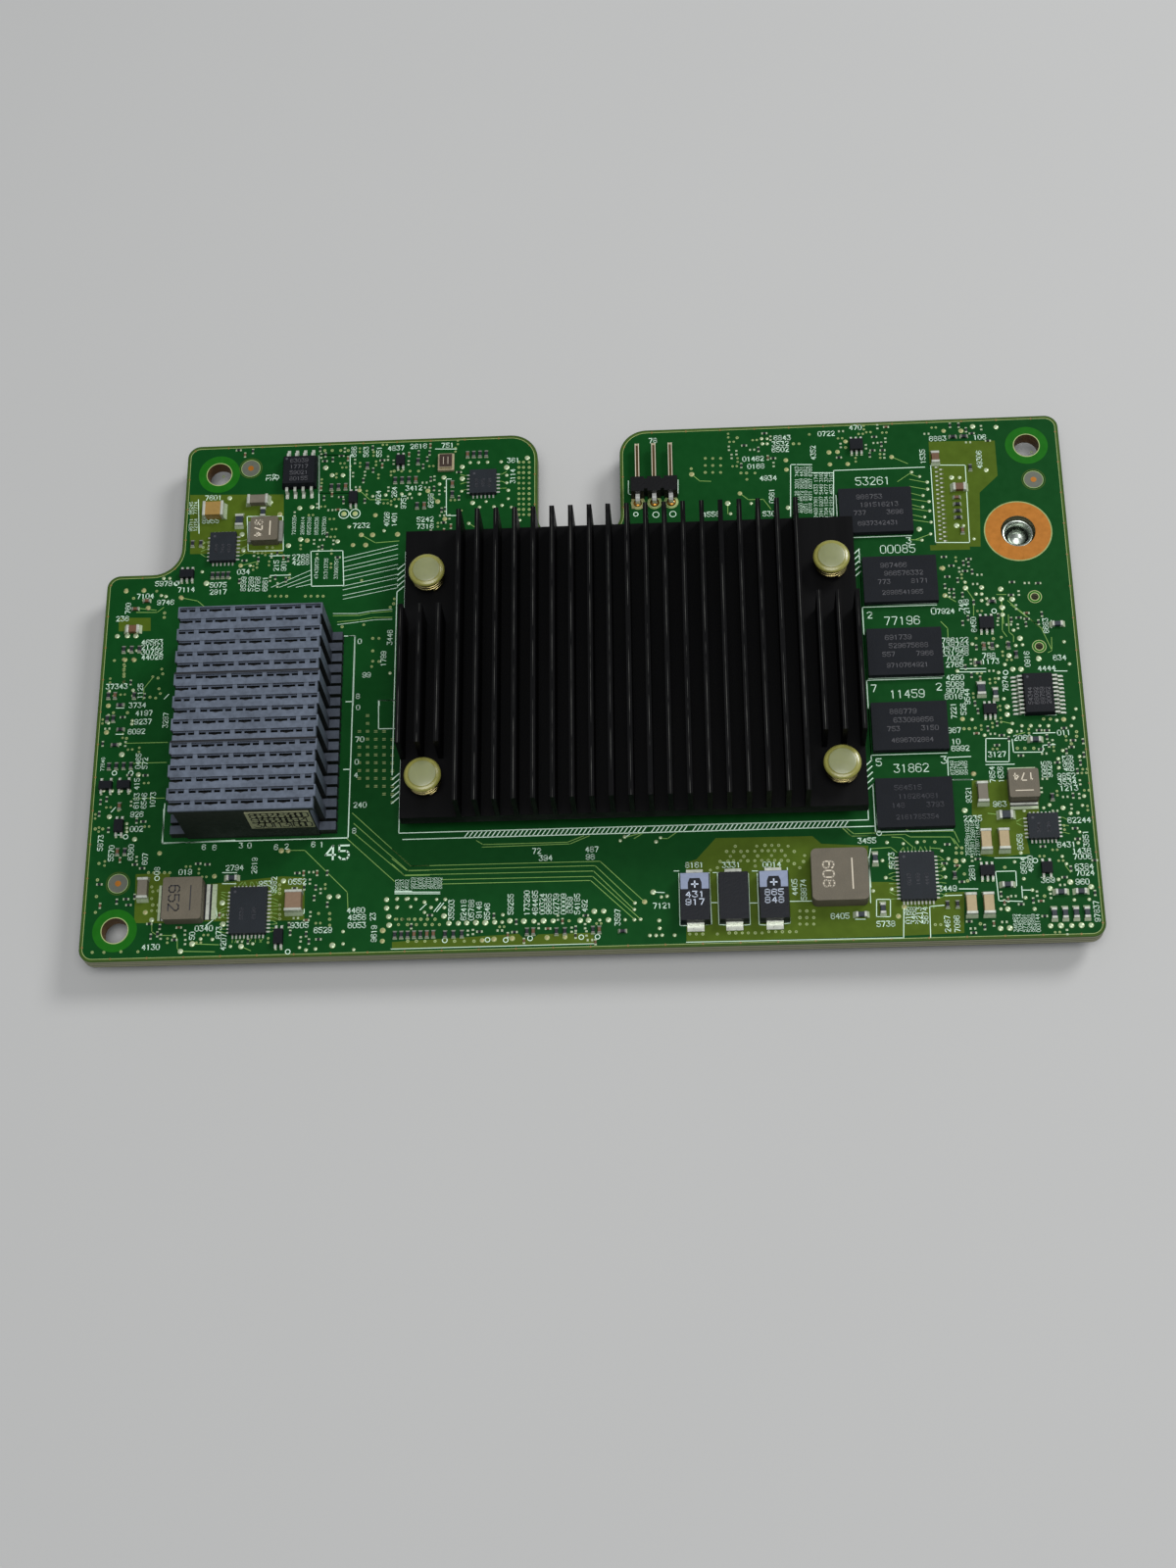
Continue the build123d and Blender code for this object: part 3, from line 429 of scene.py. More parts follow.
# Pen strokes of the numerals, on a field 4 wide and 6 high
STROKES = {
    "0": [[(1, 0), (3, 0), (4, 1), (4, 5), (3, 6), (1, 6), (0, 5), (0, 1), (1, 0)]],
    "1": [[(1, 5), (2, 6), (2, 0)]],
    "2": [[(0, 5), (1, 6), (3, 6), (4, 5), (4, 4), (0, 0), (4, 0)]],
    "3": [[(0, 6), (4, 6), (2, 3.5), (4, 2.4), (4, 1), (3, 0), (1, 0), (0, 1)]],
    "4": [[(3, 0), (3, 6), (0, 2), (4, 2)]],
    "5": [[(4, 6), (0, 6), (0, 3.6), (3, 3.6), (4, 2.6), (4, 1), (3, 0), (1, 0), (0, 1)]],
    "6": [[(4, 5), (3, 6), (1, 6), (0, 5), (0, 1), (1, 0), (3, 0), (4, 1), (4, 2.6), (3, 3.5), (0, 3.5)]],
    "7": [[(0, 6), (4, 6), (1.5, 0)]],
    "8": [[(1, 3.2), (0, 4.2), (0, 5), (1, 6), (3, 6), (4, 5), (4, 4.2), (3, 3.2), (1, 3.2),
           (0, 2.2), (0, 1), (1, 0), (3, 0), (4, 1), (4, 2.2), (3, 3.2)]],
    "9": [[(0, 1), (1, 0), (3, 0), (4, 1), (4, 5), (3, 6), (1, 6), (0, 5), (0, 3.5), (1, 2.6), (4, 2.6)]],
}


def number(count):
    """A made-up run of numerals."""
    return "".join(rng.choice("0123456789") for _ in range(count))


def islands(name):
    """The box of each separate solid of a CAD node, in millimetres."""
    data = nodes[name].data
    key, groups = {}, {}
    owner = list(range(len(data.vertices)))

    def root(i):
        while owner[i] != i:
            owner[i] = owner[owner[i]]
            i = owner[i]
        return i

    for v in data.vertices:
        place = tuple(round(c / MM, 3) for c in v.co)
        if place in key:
            owner[root(v.index)] = root(key[place])
        else:
            key[place] = v.index
    for polygon in data.polygons:
        first = root(polygon.vertices[0])
        for i in polygon.vertices[1:]:
            owner[root(i)] = first
    for v in data.vertices:
        groups.setdefault(root(v.index), []).append(v.co / MM)
    return sorted((tuple(min(p[i] for p in members) for i in range(3)),
                   tuple(max(p[i] for p in members) for i in range(3))) for members in groups.values())


def middle(lo, hi):
    """The middle of a box, seen from above."""
    return (lo[0] + hi[0]) / 2, (lo[1] + hi[1]) / 2


# CAD nodes whose shape is right keep it and get their finish
dress("circuit_board", MASK)
dress("heat_sink", SINK, 0.1)
dress("chip_lid", LID, 0.1)
dress("chip_substrate", LAMINATE, 0.05)
dress("thermal_pad", PAD_RUBBER)
dress("connector_module_1 connector_module_2 connector_module_3", CONNECTOR)
dress("connector_label", STICKER)
dress("memory_chip_1 memory_chip_2 memory_chip_3 memory_chip_4 memory_chip_5", MEMORY, 0.08)
dress("polymer_capacitor_1 polymer_capacitor_2 polymer_capacitor_3", POLYMER, 0.08)
dress("polymer_leads", TIN, 0.03)
dress("header_body", HEADER, 0.08)
dress("header_pins", HEADER_PIN, 0.1)
dress("inductor_front_right inductor_front_left inductor_back_left inductor_right", CORE, 0.15)
dress("eight_lead_body twenty_lead_body transistor_bodies", PACKAGE, 0.06)
dress("flat_package_back_left flat_package_middle flat_package_front_left flat_package_front_right "
      "flat_package_right", FLAT_PACKAGE, 0.06)
dress("eight_leads twenty_leads", TIN, 0.02, 1)
dress("transistor_leads", TIN, 0.03, 1)
dress("oscillator", CAN_RIM, 0.06)
dress("push_pins", PIN_PLASTIC)
dress("push_pin_springs", WIRE)

# Push pins with a rolled rim and a raised face; their springs of round wire
COIL_REACH, WIRE_RADIUS, COIL_TURNS, COIL_STEPS, COIL_SIDES = 2.2, 0.22, 2.6, 96, 8
heads, coils = Mesh(), Mesh()
coil_low, coil_high = (corner[2] for corner in box_mm("push_pin_springs"))
for lo, hi in islands("push_pins"):
    (cx, cy), top, wide = middle(lo, hi), hi[2], (hi[0] - lo[0]) / 2
    heads.lathe(cx, cy, [(0, top - 0.02), (1.75, top), (1.98, top - 0.08)])
    heads.lathe(cx, cy, [(1.98, top - 0.08), (2.08, top - 0.2), (2.3, top - 0.2), (wide - 0.1, top - 0.34),
                         (wide, top - 0.55), (wide - 0.06, top - 0.72), (wide - 0.4, top - 0.8), (1.9, top - 0.82),
                         (1.9, top - 1.15), (1.2, top - 1.2), (1.2, 2.0)], slot=1)
    for side in (-1, 1):
        heads.box((cx + side * 1.15 - 0.75, cy - 1.1, 0.35), (cx + side * 1.15 + 0.75, cy + 1.1, 2.2), 0.3, 1)
        heads.box((cx + side * 0.6 - 0.3, cy - 0.7, 0.0), (cx + side * 0.6 + 0.3, cy + 0.7, 0.5), 0.1, 1)
    points, faces = [], []
    for n in range(COIL_STEPS + 1):
        angle = 2 * math.pi * COIL_TURNS * n / COIL_STEPS - 1.2
        rise = coil_low + 0.24 + (coil_high - coil_low - 0.48) * n / COIL_STEPS
        for i in range(COIL_SIDES):
            around = 2 * math.pi * i / COIL_SIDES
            reach = COIL_REACH + WIRE_RADIUS * math.cos(around)
            points.append((cx + reach * math.cos(angle), cy + reach * math.sin(angle),
                           rise + WIRE_RADIUS * math.sin(around)))
    for a in range(0, COIL_STEPS * COIL_SIDES, COIL_SIDES):
        b = a + COIL_SIDES
        faces += [[a + i, b + i, b + (i + 1) % COIL_SIDES, a + (i + 1) % COIL_SIDES] for i in range(COIL_SIDES)]
    last = COIL_STEPS * COIL_SIDES
    faces += [list(range(COIL_SIDES)), list(range(last, last + COIL_SIDES))[::-1]]
    coils.add(points, faces, 0, True)
heads.make("push_pins_detail", [PIN_PLASTIC, PIN_RIM], "pin_plastic", "push_pins")
coils.make("push_pin_springs_detail", [WIRE], "spring_steel", "push_pin_springs")


def cross(xs, ys, *rest):
    """The places of a grid as flat numbers, each place followed by the rest."""
    return [value for x in xs for y in ys for value in (x, y, *rest)]


def groups(flat, size):
    """Flat numbers in groups of a size."""
    return list(zip(*[iter(flat)] * size))


# The board's printed and plated detail, one enlarged region of the photograph after another, in flat numbers:
# places, or places with a count of numerals. pads and dots are tinned, lands and vias are copper under the mask,
# numbers, upright and small are numerals, and ink, fine, trace and pour are rows of points.
REGIONS = [dict(
    place=spot(60, 420, 5.227),
    pads=(912, 462, 1130, 485, 978, 655, 985, 740, 1225, 715, 1285, 515, 1350, 510, 1290, 682, 1487, 693, 1422, 300,
        1458, 340, 1515, 340),
    dots=(765, 855, 788, 915, 910, 888, 1020, 822, 313, 1200, 365, 1198, 412, 1198, 345, 1275, 375, 1275, 415, 1275,
        560, 890, 592, 890),
    lands=(360, 955, 455, 952, 478, 1050, 653, 993, 970, 822, 1325, 688, 1180, 548, 350, 1323, 400, 1323),
    vias=(*cross((1125, 1155, 1185, 1215, 1315, 1345, 1380, 1410), (985,)), *cross((348,), (1350, 1375, 1400, 1440)),
        *cross((770, 800, 830, 1110, 1140), (700, 725))),
    numbers=(825, 460, 4, 810, 583, 4, 560, 918, 4, 680, 950, 4, 462, 985, 4, 570, 1018, 4, 850, 925, 4, 850, 962, 4,
        985, 855, 3, 340, 1105, 3, 290, 1155, 3, 1290, 775, 4, 1290, 805, 4, *cross((498,), (1230, 1255, 1282, 1310),
        5)),
    upright=(*cross((985, 1025, 1060, 1100), (920,), 4), 370, 1050, 3, 1120, 350, 2, 1155, 350, 2, 1160, 822, 3,
        1200, 822, 3),
    small=(*cross((680, 705, 730), (515, 605), 5), *cross((1255, 1300, 1335, 1375, 1415), (610,), 7), *cross((1375,
        1425, 1480), (838,), 8)),
    ink=((1388, 232, 1388, 520), (1388, 435, 1568, 435), (1388, 232, 1568, 232), (745, 470, 748, 650), (1005, 560,
        1195, 558, 1198, 742, 1010, 745, 1005, 560), (1345, 745, 1515, 742, 1520, 928, 1348, 932, 1345, 745),
        (1125, 770, 1232, 768), (1128, 875, 1236, 872), (627, 905, 642, 905)),
    rings=(627, 918, 1520, 548, 1163, 350),
    trace=((650, 993, 740, 1010, 800, 1060), (970, 822, 1060, 800), (430, 1050, 520, 1060)),
    pour=((700, 445, 1200, 442, 1200, 560, 1195, 758, 700, 760), (320, 1100, 490, 1100, 490, 1170, 320, 1172)),
), dict(
    place=spot(320, 420, 5.227),
    pads=(65, 300, 695, 352, 793, 295, 793, 358, 848, 487, 1030, 298, 1140, 247),
    dots=(100, 342, 152, 340, 385, 445, 470, 440, 512, 440, 565, 440, 315, 452, 440, 505, 672, 387, 790, 425, 835, 272,
        880, 272, 928, 270, 1000, 268, 1030, 340, 1030, 380, 1038, 420, 1038, 465, 885, 510, 920, 480, 962, 508,
        1005, 500, 1055, 510, 828, 597, 1100, 580, 190, 615, 375, 635, 128, 692),
    lands=(245, 420, 330, 553, 610, 423, 662, 480, 700, 573, 255, 658, 315, 658, 210, 712, 278, 712, 448, 655),
    vias=(*cross((60, 100, 145, 185), (208,)), *cross((430, 470, 515, 560), (318,)), *cross((1095, 1120, 1150),
        range(270, 561, 28))),
    numbers=(440, 195, 4, 560, 185, 4, 715, 180, 3, 1065, 260, 3, 535, 408, 4, 595, 575, 4, 595, 612, 4, 255, 608, 4),
    upright=(*cross((215, 280, 350, 390), (215,), 3), *cross((950, 990, 1030), (185,), 4), 1062, 345, 4, 345, 460, 4,
        430, 430, 3, 625, 475, 4, 480, 480, 4, 390, 575, 4, 430, 575, 4),
    ink=((30, 232, 195, 232, 195, 435, 30, 435, 30, 232), (735, 360, 708, 360, 708, 555, 758, 555), (650, 200,
        762, 200)),
    rings=(162, 548, 222, 545),
    trace=((245, 420, 300, 470, 400, 470), (610, 423, 650, 470), (255, 658, 330, 700, 455, 690), (828, 597, 900, 640),
        (1100, 580, 1060, 640)),
), dict(
    place=spot(580, 420, 5.227),
    pads=(850, 490, 1172, 513),
    dots=(1030, 145, 1060, 145, 1035, 172, 1060, 172, 975, 490, 865, 545),
    lands=(658, 335, 1160, 260, 1163, 310, 1390, 218, 1435, 215, 1395, 282, 1490, 280, 1478, 160, 915, 437),
    vias=(*cross((730, 770, 812), (250, 288, 325)), 995, 328, 950, 328, 920, 328, 952, 362, 1230, 172, 1200, 172,
        1285, 122, 900, 140, 655, 305),
    numbers=(450, 155, 2, 1140, 140, 4, 1130, 172, 4, 1130, 203, 4, 985, 252, 5, 1000, 292, 4, 1065, 355, 4,
        1375, 118, 4, 1530, 85, 3, 760, 548, 4, 1070, 545, 3),
    upright=(1305, 220, 4, 1085, 450, 4),
    small=(*cross((1218, 1242, 1266, 1290), (320, 385, 450, 515), 4), *cross((1320, 1348, 1375, 1402), (350, 415, 480,
        540), 4)),
    ink=((320, 370, 320, 440, 345, 445), (585, 365, 585, 438, 560, 445), (370, 447, 560, 445), (1215, 283, 1185, 283,
        1185, 560), (1215, 283, 1298, 283), (1298, 327, 1410, 327)),
    rings=(360, 548),
    trace=((658, 335, 700, 370, 760, 372), (915, 437, 960, 470, 1040, 468, 1080, 520), (850, 490, 850, 545)),
), dict(
    place=spot(820, 420, 4.9),
    pads=(578, 588, 845, 75, 962, 78, 913, 293, 1175, 1233, 740, 330, 765, 570),
    dots=(540, 303, 580, 325, 618, 353, 620, 388, 597, 420, 627, 450, 595, 477, 630, 497, 605, 527, 637, 553, 635, 612,
        592, 643, 852, 637, 780, 330, 800, 570),
    lands=(700, 97, 787, 97, 440, 227, 690, 783, 707, 920, 810, 882, 890, 880, 985, 888, 988, 937, 1043, 938, 990, 978,
        995, 1015),
    vias=(210, 152, 210, 180, 130, 205, 170, 205, 130, 265, 220, 265, 808, 855, 862, 912, 890, 912, 1080, 1135),
    numbers=(670, 135, 4, 880, 128, 3, 710, 998, 4, 755, 1232, 4, 755, 1265, 4, 1215, 1283, 4, 1280, 1230, 3,
        *cross((757,), (1143, 1165, 1187, 1209), 6)),
    upright=(595, 225, 4, 878, 240, 5, 1210, 1070, 4, 850, 1065, 4, 790, 970, 3),
    ink=((605, 278, 150, 295, 150, 520), (250, 620, 545, 605), (310, 968, 665, 958), (325, 1335, 700, 1322), (635, 268,
        808, 268, 830, 655, 660, 655, 635, 268)),
    trace=((1020, 945, 1190, 1085, 1240, 1190), (440, 227, 520, 260), (707, 920, 760, 950), (988, 937, 1000, 1060),
        (810, 882, 850, 940, 850, 1020)),
    pour=((625, 150, 955, 145, 970, 320, 880, 405, 885, 675, 820, 675, 815, 262, 630, 262), (640, 262, 816, 262,
        820, 675, 664, 675), (632, 668, 830, 668, 832, 690, 634, 694)),
), dict(
    place=spot(820, 420, 4.9),
    trace=(*[(530, y - 14, x - 12, y) for x, y in ((580, 325), (618, 353), (620, 388), (597, 420), (627, 450), (595,
        477), (630, 497), (605, 527), (637, 553))], (540, 303, 470, 350), (592, 643, 530, 640), (635, 612, 560, 640)),
), dict(
    place=spot(80, 580, 5.227),
    pads=(683, 80, 208, 362, 262, 360, 307, 360, 232, 993, 320, 1100, 165, 1325, 300, 1445),
    dots=(222, 937, 442, 145, 467, 150, 350, 170, 380, 170, 165, 655, 190, 680, 292, 650, 292, 680, 160, 785, 160, 825,
        288, 812, 285, 830, 135, 1185, 180, 1187, 228, 1187, 273, 1187, 258, 1362, 258, 1385, 258, 1405),
    lands=(255, 122, 350, 118, 373, 212, 550, 158, 248, 488, 297, 488, 160, 733, 150, 875, 433, 1520),
    vias=(295, 160, 418, 122, 460, 238, 458, 262, 192, 492, 247, 522, 243, 545, 243, 577, 243, 605, 445, 537, 397, 578,
        425, 585, 450, 563, 430, 642, 437, 668, 382, 687, 412, 692, 187, 770, 257, 907, 262, 770, 215, 1290, 90, 1390,
        130, 1390),
    numbers=(455, 80, 4, 575, 110, 3, 745, 90, 4, 748, 125, 4, 358, 150, 3, 465, 182, 4, 183, 315, 3, 155, 590, 3,
        205, 630, 5, 315, 730, 4, 350, 772, 4, 345, 818, 4, 310, 870, 4, 150, 968, 4, 312, 1312, 3, 310, 1390, 3),
    small=(355, 435, 5, 385, 430, 4, 410, 430, 4, 437, 430, 4, 95, 1050, 5, 130, 1045, 5),
    upright=(265, 215, 3, 330, 655, 4, 465, 810, 4, 320, 1028, 4, 355, 1040, 3, 90, 1145, 3, 312, 1150, 3, 310, 1240, 4,
        350, 1240, 4, 397, 1235, 4, 118, 1465, 4, 175, 1520, 4, 280, 1515, 4, 355, 1550, 3),
    ink=((455, 1285, 450, 1468, 836, 1450), (202, 745, 243, 745), (200, 885, 240, 885), (198, 1422, 228, 1422),
        (175, 1300, 198, 1275), (458, 697, 482, 672)),
    rings=(192, 1092, 280, 1092, 252, 1432, 527, 78),
    trace=((310, 235, 420, 235, 455, 208), (250, 933, 475, 928), (290, 1040, 470, 1035), (290, 1228, 460, 1225),
        (395, 585, 350, 640, 345, 700)),
), dict(
    place=spot(80, 840, 4.61),
    pads=(677, 375, 345, 455, 1180, 347, 1222, 345, 1195, 575, 1460, 440, 1462, 480, 1450, 360, 1450, 400, 535, 568,
        480, 603, 680, 475, 765, 580, 965, 272),
    dots=(1245, 510, 1245, 568, 1500, 355, 1550, 355, 1500, 395, 1115, 592, 1295, 595, 630, 547, 820, 567, 1040, 585,
        1070, 597, 715, 580, 575, 545, 450, 530),
    lands=(955, 130, 987, 130, 640, 250, 315, 420, 1432, 505, 1430, 555),
    vias=(97, 190, 382, 143, 90, 267, 85, 345, 80, 420, 65, 608, 120, 608, 200, 605, 280, 605, 345, 300, 350, 322,
        375, 318, 345, 355, 350, 385, 375, 385, 345, 412, 372, 412, 1130, 425, 1182, 425, 1182, 452, 1182, 480,
        *cross(range(330, 431, 25), (233,)), *cross((947,), (290, 310, 330, 385, 405, 430, 450)), *cross((1497, 1525,
        1555), (452,))),
    numbers=(735, 210, 4, 503, 230, 3, 880, 285, 3, 1030, 275, 4, 590, 495, 4, 1040, 480, 4, 1150, 503, 4, 340, 583, 4,
        612, 630, 4, 708, 622, 4, 828, 628, 4, 932, 625, 3, 1305, 410, 4, 1310, 443, 4, 1310, 480, 4, 590, 113, 1,
        640, 115, 1, 765, 105, 1, 805, 105, 1, 930, 113, 1, 980, 110, 1, 1105, 100, 1, 1145, 100, 1),
    upright=(105, 95, 4, 313, 190, 4, 370, 225, 2, 828, 200, 4, 920, 290, 4, 405, 590, 4, 440, 600, 4, 660, 515, 3,
        682, 560, 4, 535, 530, 2, 1390, 520, 4, 1385, 440, 2),
    small=cross((1500, 1522, 1545), (292,), 4),
    ink=((678, 233, 745, 233), (678, 285, 742, 285), (640, 305, 652, 440, 600, 482), (980, 425, 1062, 425, 1062, 405),
        (1490, 320, 1568, 320)),
    rings=(985, 605, 370, 260),
    trace=((987, 128, 1065, 128, 1265, 325, 1268, 405), (345, 470, 345, 510, 370, 528, 455, 528, 465, 545, 465, 590,
        480, 603, 640, 605), (535, 568, 660, 572), (765, 580, 810, 600)),
    pour=((270, 240, 430, 235, 430, 470, 262, 470), (590, 290, 960, 250, 1065, 255, 1062, 455, 985, 458, 590, 462)),
), dict(
    place=spot(400, 820, 6.031),
    pads=(350, 737, 408, 737, 460, 735, 517, 733, 575, 733, 632, 730, 725, 722, 812, 724, 873, 724, 933, 722, 992, 722,
        1158, 720, 1210, 718, 1245, 663, 1303, 662, 1332, 716, 320, 692),
    dots=(682, 685, 30, 588, 88, 588, 147, 588, 275, 590, 328, 590, 30, 640, 115, 635, 200, 607, 240, 640, 322, 640,
        200, 670, 678, 730, 1435, 715, 1278, 717, 1495, 612, 1492, 652, 1492, 715, 1530, 712, 1405, 228, 1432, 205),
    lands=(555, 842, 628, 835, 740, 830, 955, 825, 1065, 822, 1555, 605),
    vias=(*cross((22, 62, 100, 140, 178, 218, 265), (712,)), *cross((40, 95, 150, 205, 248, 292), (745,)), *cross((97,
        150, 203, 265, 385, 445, 505), (847,)), 1090, 722),
    numbers=(890, 292, 2, 1230, 282, 3, 945, 335, 3, 1220, 328, 2),
    upright=(*cross((365, 392, 440, 488), (655,), 5), 535, 655, 4, 585, 665, 4, 730, 620, 5, *cross((830, 880), (612,),
        6), *cross((925, 965, 1010, 1055, 1140), (618,), 5), 1095, 625, 4, 1185, 630, 3, 1388, 700, 4),
    small=cross(range(32, 300, 24), (490,), 4),
    ink=((18, 545, 295, 545), (18, 555, 295, 555), (172, 655, 212, 618), (1440, 205, 1462, 190), (258, 665, 300, 612),
        (275, 665, 318, 612)),
    rings=(325, 842, 850, 830, 1165, 822, 1265, 820, 588, 838, 700, 840),
    trace=((0, 280, 115, 385, 1280, 355, 1555, 605), (0, 340, 90, 412, 1250, 382, 1495, 612), (0, 372, 75, 440,
        1240, 415, 1492, 655), (300, 468, 1235, 448, 1530, 712), (300, 495, 1222, 473, 1492, 712), (555, 268, 1095, 248,
        1215, 198), (520, 228, 560, 252, 1080, 238, 1180, 198), (1490, 215, 1540, 185)),
    pour=((0, 852, 620, 812, 780, 802, 812, 832, 860, 836, 900, 805, 1240, 795, 1245, 862, 0, 892),),
), dict(
    place=spot(640, 820, 6.031),
    pads=(160, 545),
    dots=(210, 575, 245, 570, 197, 720, 200, 768, 140, 812, 178, 812, 215, 810, 292, 810, 178, 235, 205, 210),
    vias=(665, 263, 797, 262, 848, 257, 890, 257, 932, 257, 990, 262, 612, 295, 655, 295, 700, 295, 740, 293, 785, 293,
        830, 290, 868, 290, 907, 290, 950, 290, 1028, 295, 635, 325, 718, 325, 803, 322, 888, 320, 972, 320, 1092, 320,
        572, 357, 620, 355, 655, 352, 698, 352, 742, 352, 785, 352, 828, 350, 868, 350, 908, 350, 948, 350, 990, 352,
        1028, 370, 1085, 357, 1062, 395, 555, 395, 788, 385, 512, 410, *cross((1063, 1105, 1148), (661, 702, 742)),
        *cross((385, 425, 465, 555), (803,)), *cross((628, 668, 708, 745, 788, 830), (796,)), *cross((872, 914, 955,
        1000, 1040), (789,))),
    numbers=(413, 378, 4, 640, 378, 4, 890, 375, 4, 215, 628, 4, 1475, 228, 4, 1310, 692, 4),
    upright=(1030, 515, 4, 1085, 530, 5),
    ink=((318, 430, 325, 750, 372, 752), (484, 745, 520, 742, 505, 425), (288, 415, 318, 415), (555, 425, 565, 745,
        610, 748), (745, 430, 757, 745, 720, 748), (528, 425, 560, 425), (800, 430, 812, 745, 852, 748), (985, 395,
        1003, 735, 968, 740), (770, 415, 802, 415), (515, 610, 560, 610), (757, 612, 812, 612), (1003, 602, 1140, 600),
        (160, 545, 228, 548), (1405, 712, 1465, 712), (1485, 330, 1500, 515)),
    trace=((0, 205, 90, 180), (205, 215, 250, 215, 320, 165), (1325, 152, 1380, 202, 1540, 195), (1350, 152, 1395, 186,
        1540, 180)),
), dict(
    place=spot(860, 780, 5.807),
    pads=(723, 273, 1305, 258, 978, 857, 935, 972, 990, 970, 1228, 735, 1348, 697, 1472, 725, 1232, 957, 1293, 955,
        1357, 955, 1415, 953, 1472, 953, 715, 570),
    dots=(1075, 275, 1280, 20, 1430, 188, 1420, 243, 1393, 287, 1395, 465, 1055, 525, 1018, 578, 1073, 678, 1123, 745,
        1083, 790, 937, 857, 1137, 857, 1460, 800, 1372, 803, 1278, 682, 262, 463, 358, 470, 440, 462, 587, 512,
        625, 560, 180, 750, 290, 740, 255, 672, 235, 570, 600, 620, 608, 668, 1225, 240, 1190, 258, 1350, 290,
        1403, 400, 1300, 545, 1325, 590),
    lands=(775, 55, 670, 573, 330, 900, 365, 845),
    vias=(483, 457, 545, 460, 720, 650, 740, 690, 960, 610, 1195, 780, 1240, 850, 548, 950, 580, 950, 815, 945,
        *cross((672, 705), (525,)), *cross((672, 705), (495,))),
    numbers=(140, 455, 4, 255, 945, 4, 620, 735, 4, 770, 320, 4, 1325, 68, 4, 1330, 103, 4, 1340, 140, 4, 1400, 330, 5,
        1325, 475, 4, 1415, 512, 4, 1420, 545, 4, 1430, 605, 4, 1435, 642, 4, 1420, 695, 3, 1215, 685, 3, 930, 235, 3),
    upright=(745, 180, 4, 885, 60, 4, 935, 60, 4, 620, 945, 4, 677, 945, 4, 768, 990, 4, 888, 985, 4, 1490, 385, 4,
        1440, 440, 4, 1505, 870, 5, 1050, 460, 4, 290, 570, 4, 765, 640, 4, 1070, 600, 4, 1110, 590, 4, *cross((385,
        418, 452, 488), (895, 1000), 4)),
    small=(*cross(range(1022, 1180, 27), (940,), 6), *cross((738, 768, 798), (385, 490), 6)),
    ink=((200, 800, 282, 800, 282, 903, 200, 903, 200, 800), (905, 635, 1025, 632, 1030, 720), (905, 635, 925, 808,
        1065, 812), (1060, 722, 1065, 790), (1065, 745, 1120, 745), (362, 1052, 362, 850), (522, 1045, 515, 842,
        600, 835), (655, 92, 770, 90), (195, 95, 205, 362, 380, 378), (690, 738, 800, 738), (605, 778, 705, 775),
        (900, 555, 1100, 552), (165, 500, 155, 560, 165, 820)),
    rings=(1140, 570, 215, 408),
    trace=((0, 375, 50, 425, 370, 415, 400, 430, 640, 430, 665, 470), (205, 388, 372, 384, 400, 400, 660, 396,
        690, 460), (290, 430, 350, 435, 415, 490), (165, 500, 285, 492, 320, 520), (520, 495, 580, 500), (655, 440,
        690, 490), (1320, 600, 1350, 640), (940, 300, 860, 290), (700, 600, 660, 640)),
    pour=((765, 95, 975, 90, 985, 180, 1160, 190, 1165, 300, 1090, 440, 1110, 530, 905, 550, 815, 540, 815, 330,
        765, 300),),
), dict(
    place=spot(960, 560, 6.533),
    pads=(165, 262, 272, 258, 400, 268, 403, 335, 478, 337, 410, 392, 412, 440, 528, 597, 455, 712, 480, 803, 535, 803,
        653, 733, 443, 1053, 443, 1105, 460, 1215),
    dots=(160, 222, 235, 302, 272, 302, 30, 313, 485, 543, 210, 635, 427, 772, 858, 768, 110, 815, 477, 1165, 540, 1180,
        600, 1180, 660, 1180, 717, 1180, 773, 1143, 900, 1068, 885, 1128, 870, 1180, 208, 1138, 292, 1243, 783, 1400,
        785, 1462, 813, 1345, 925, 1385, 822, 620, 272, 345, 305, 332, 312, 368, 350, 332, 285, 655, 327, 657, 375, 648,
        445, 625, 445, 655, 500, 645, 545, 640, 280, 630, 320, 630, 230, 740, 230, 775, 385, 825, 385, 865, 420, 1000),
    lands=(12, 130, 218, 1498, 145, 1135, 820, 1138),
    vias=(235, 597, 403, 590, 350, 600, 620, 1330, 560, 1330, 510, 1330, 685, 1135, 730, 1135, 905, 1220, 905, 1250,
        870, 1300, 155, 1200, 190, 1200, 230, 1195),
    numbers=(790, 728, 4, 715, 797, 2, 95, 735, 4, 95, 770, 3, 95, 857, 4, 95, 902, 4, 95, 945, 4, 85, 985, 4,
        90, 1210, 3, 100, 1285, 2, 130, 1330, 4, 320, 712, 3, 330, 750, 4, 545, 1260, 4, 820, 1225, 3, 375, 1370, 4,
        835, 1507, 4),
    upright=(120, 370, 4, 170, 385, 4, 225, 505, 3, 695, 515, 4, 575, 735, 4, 918, 840, 4, 935, 985, 3, 965, 1295, 4,
        85, 1080, 4, 150, 1070, 3, 430, 900, 4, 175, 985, 4, *cross((690, 722), (1470,), 4), *cross((832, 866), (1430,),
        4)),
    small=(*cross((22, 50, 80, 110, 142, 172), (650,), 5), *cross((75, 105, 135, 165), (1460,), 5)),
    ink=((300, 1265, 455, 1265, 455, 1420, 300, 1420, 300, 1265), (475, 1270, 485, 1357, 680, 1355, 680, 1310,
        762, 1305), (615, 1230, 762, 1226), (200, 1385, 45, 1392, 50, 1510), (80, 1540, 200, 1538), (300, 1440,
        490, 1436), (560, 1110, 770, 1108), (755, 815, 842, 815), (735, 478, 737, 528), (115, 822, 300, 820), (130, 800,
        300, 798)),
    rings=(355, 415, 432, 825),
    trace=((465, 372, 680, 535), (372, 305, 435, 305), (410, 450, 410, 545, 440, 585), (450, 440, 455, 555, 485, 580,
        485, 620), (738, 590, 740, 680, 715, 692), (0, 485, 45, 530, 48, 590), (400, 1150, 470, 1165), (380, 1050,
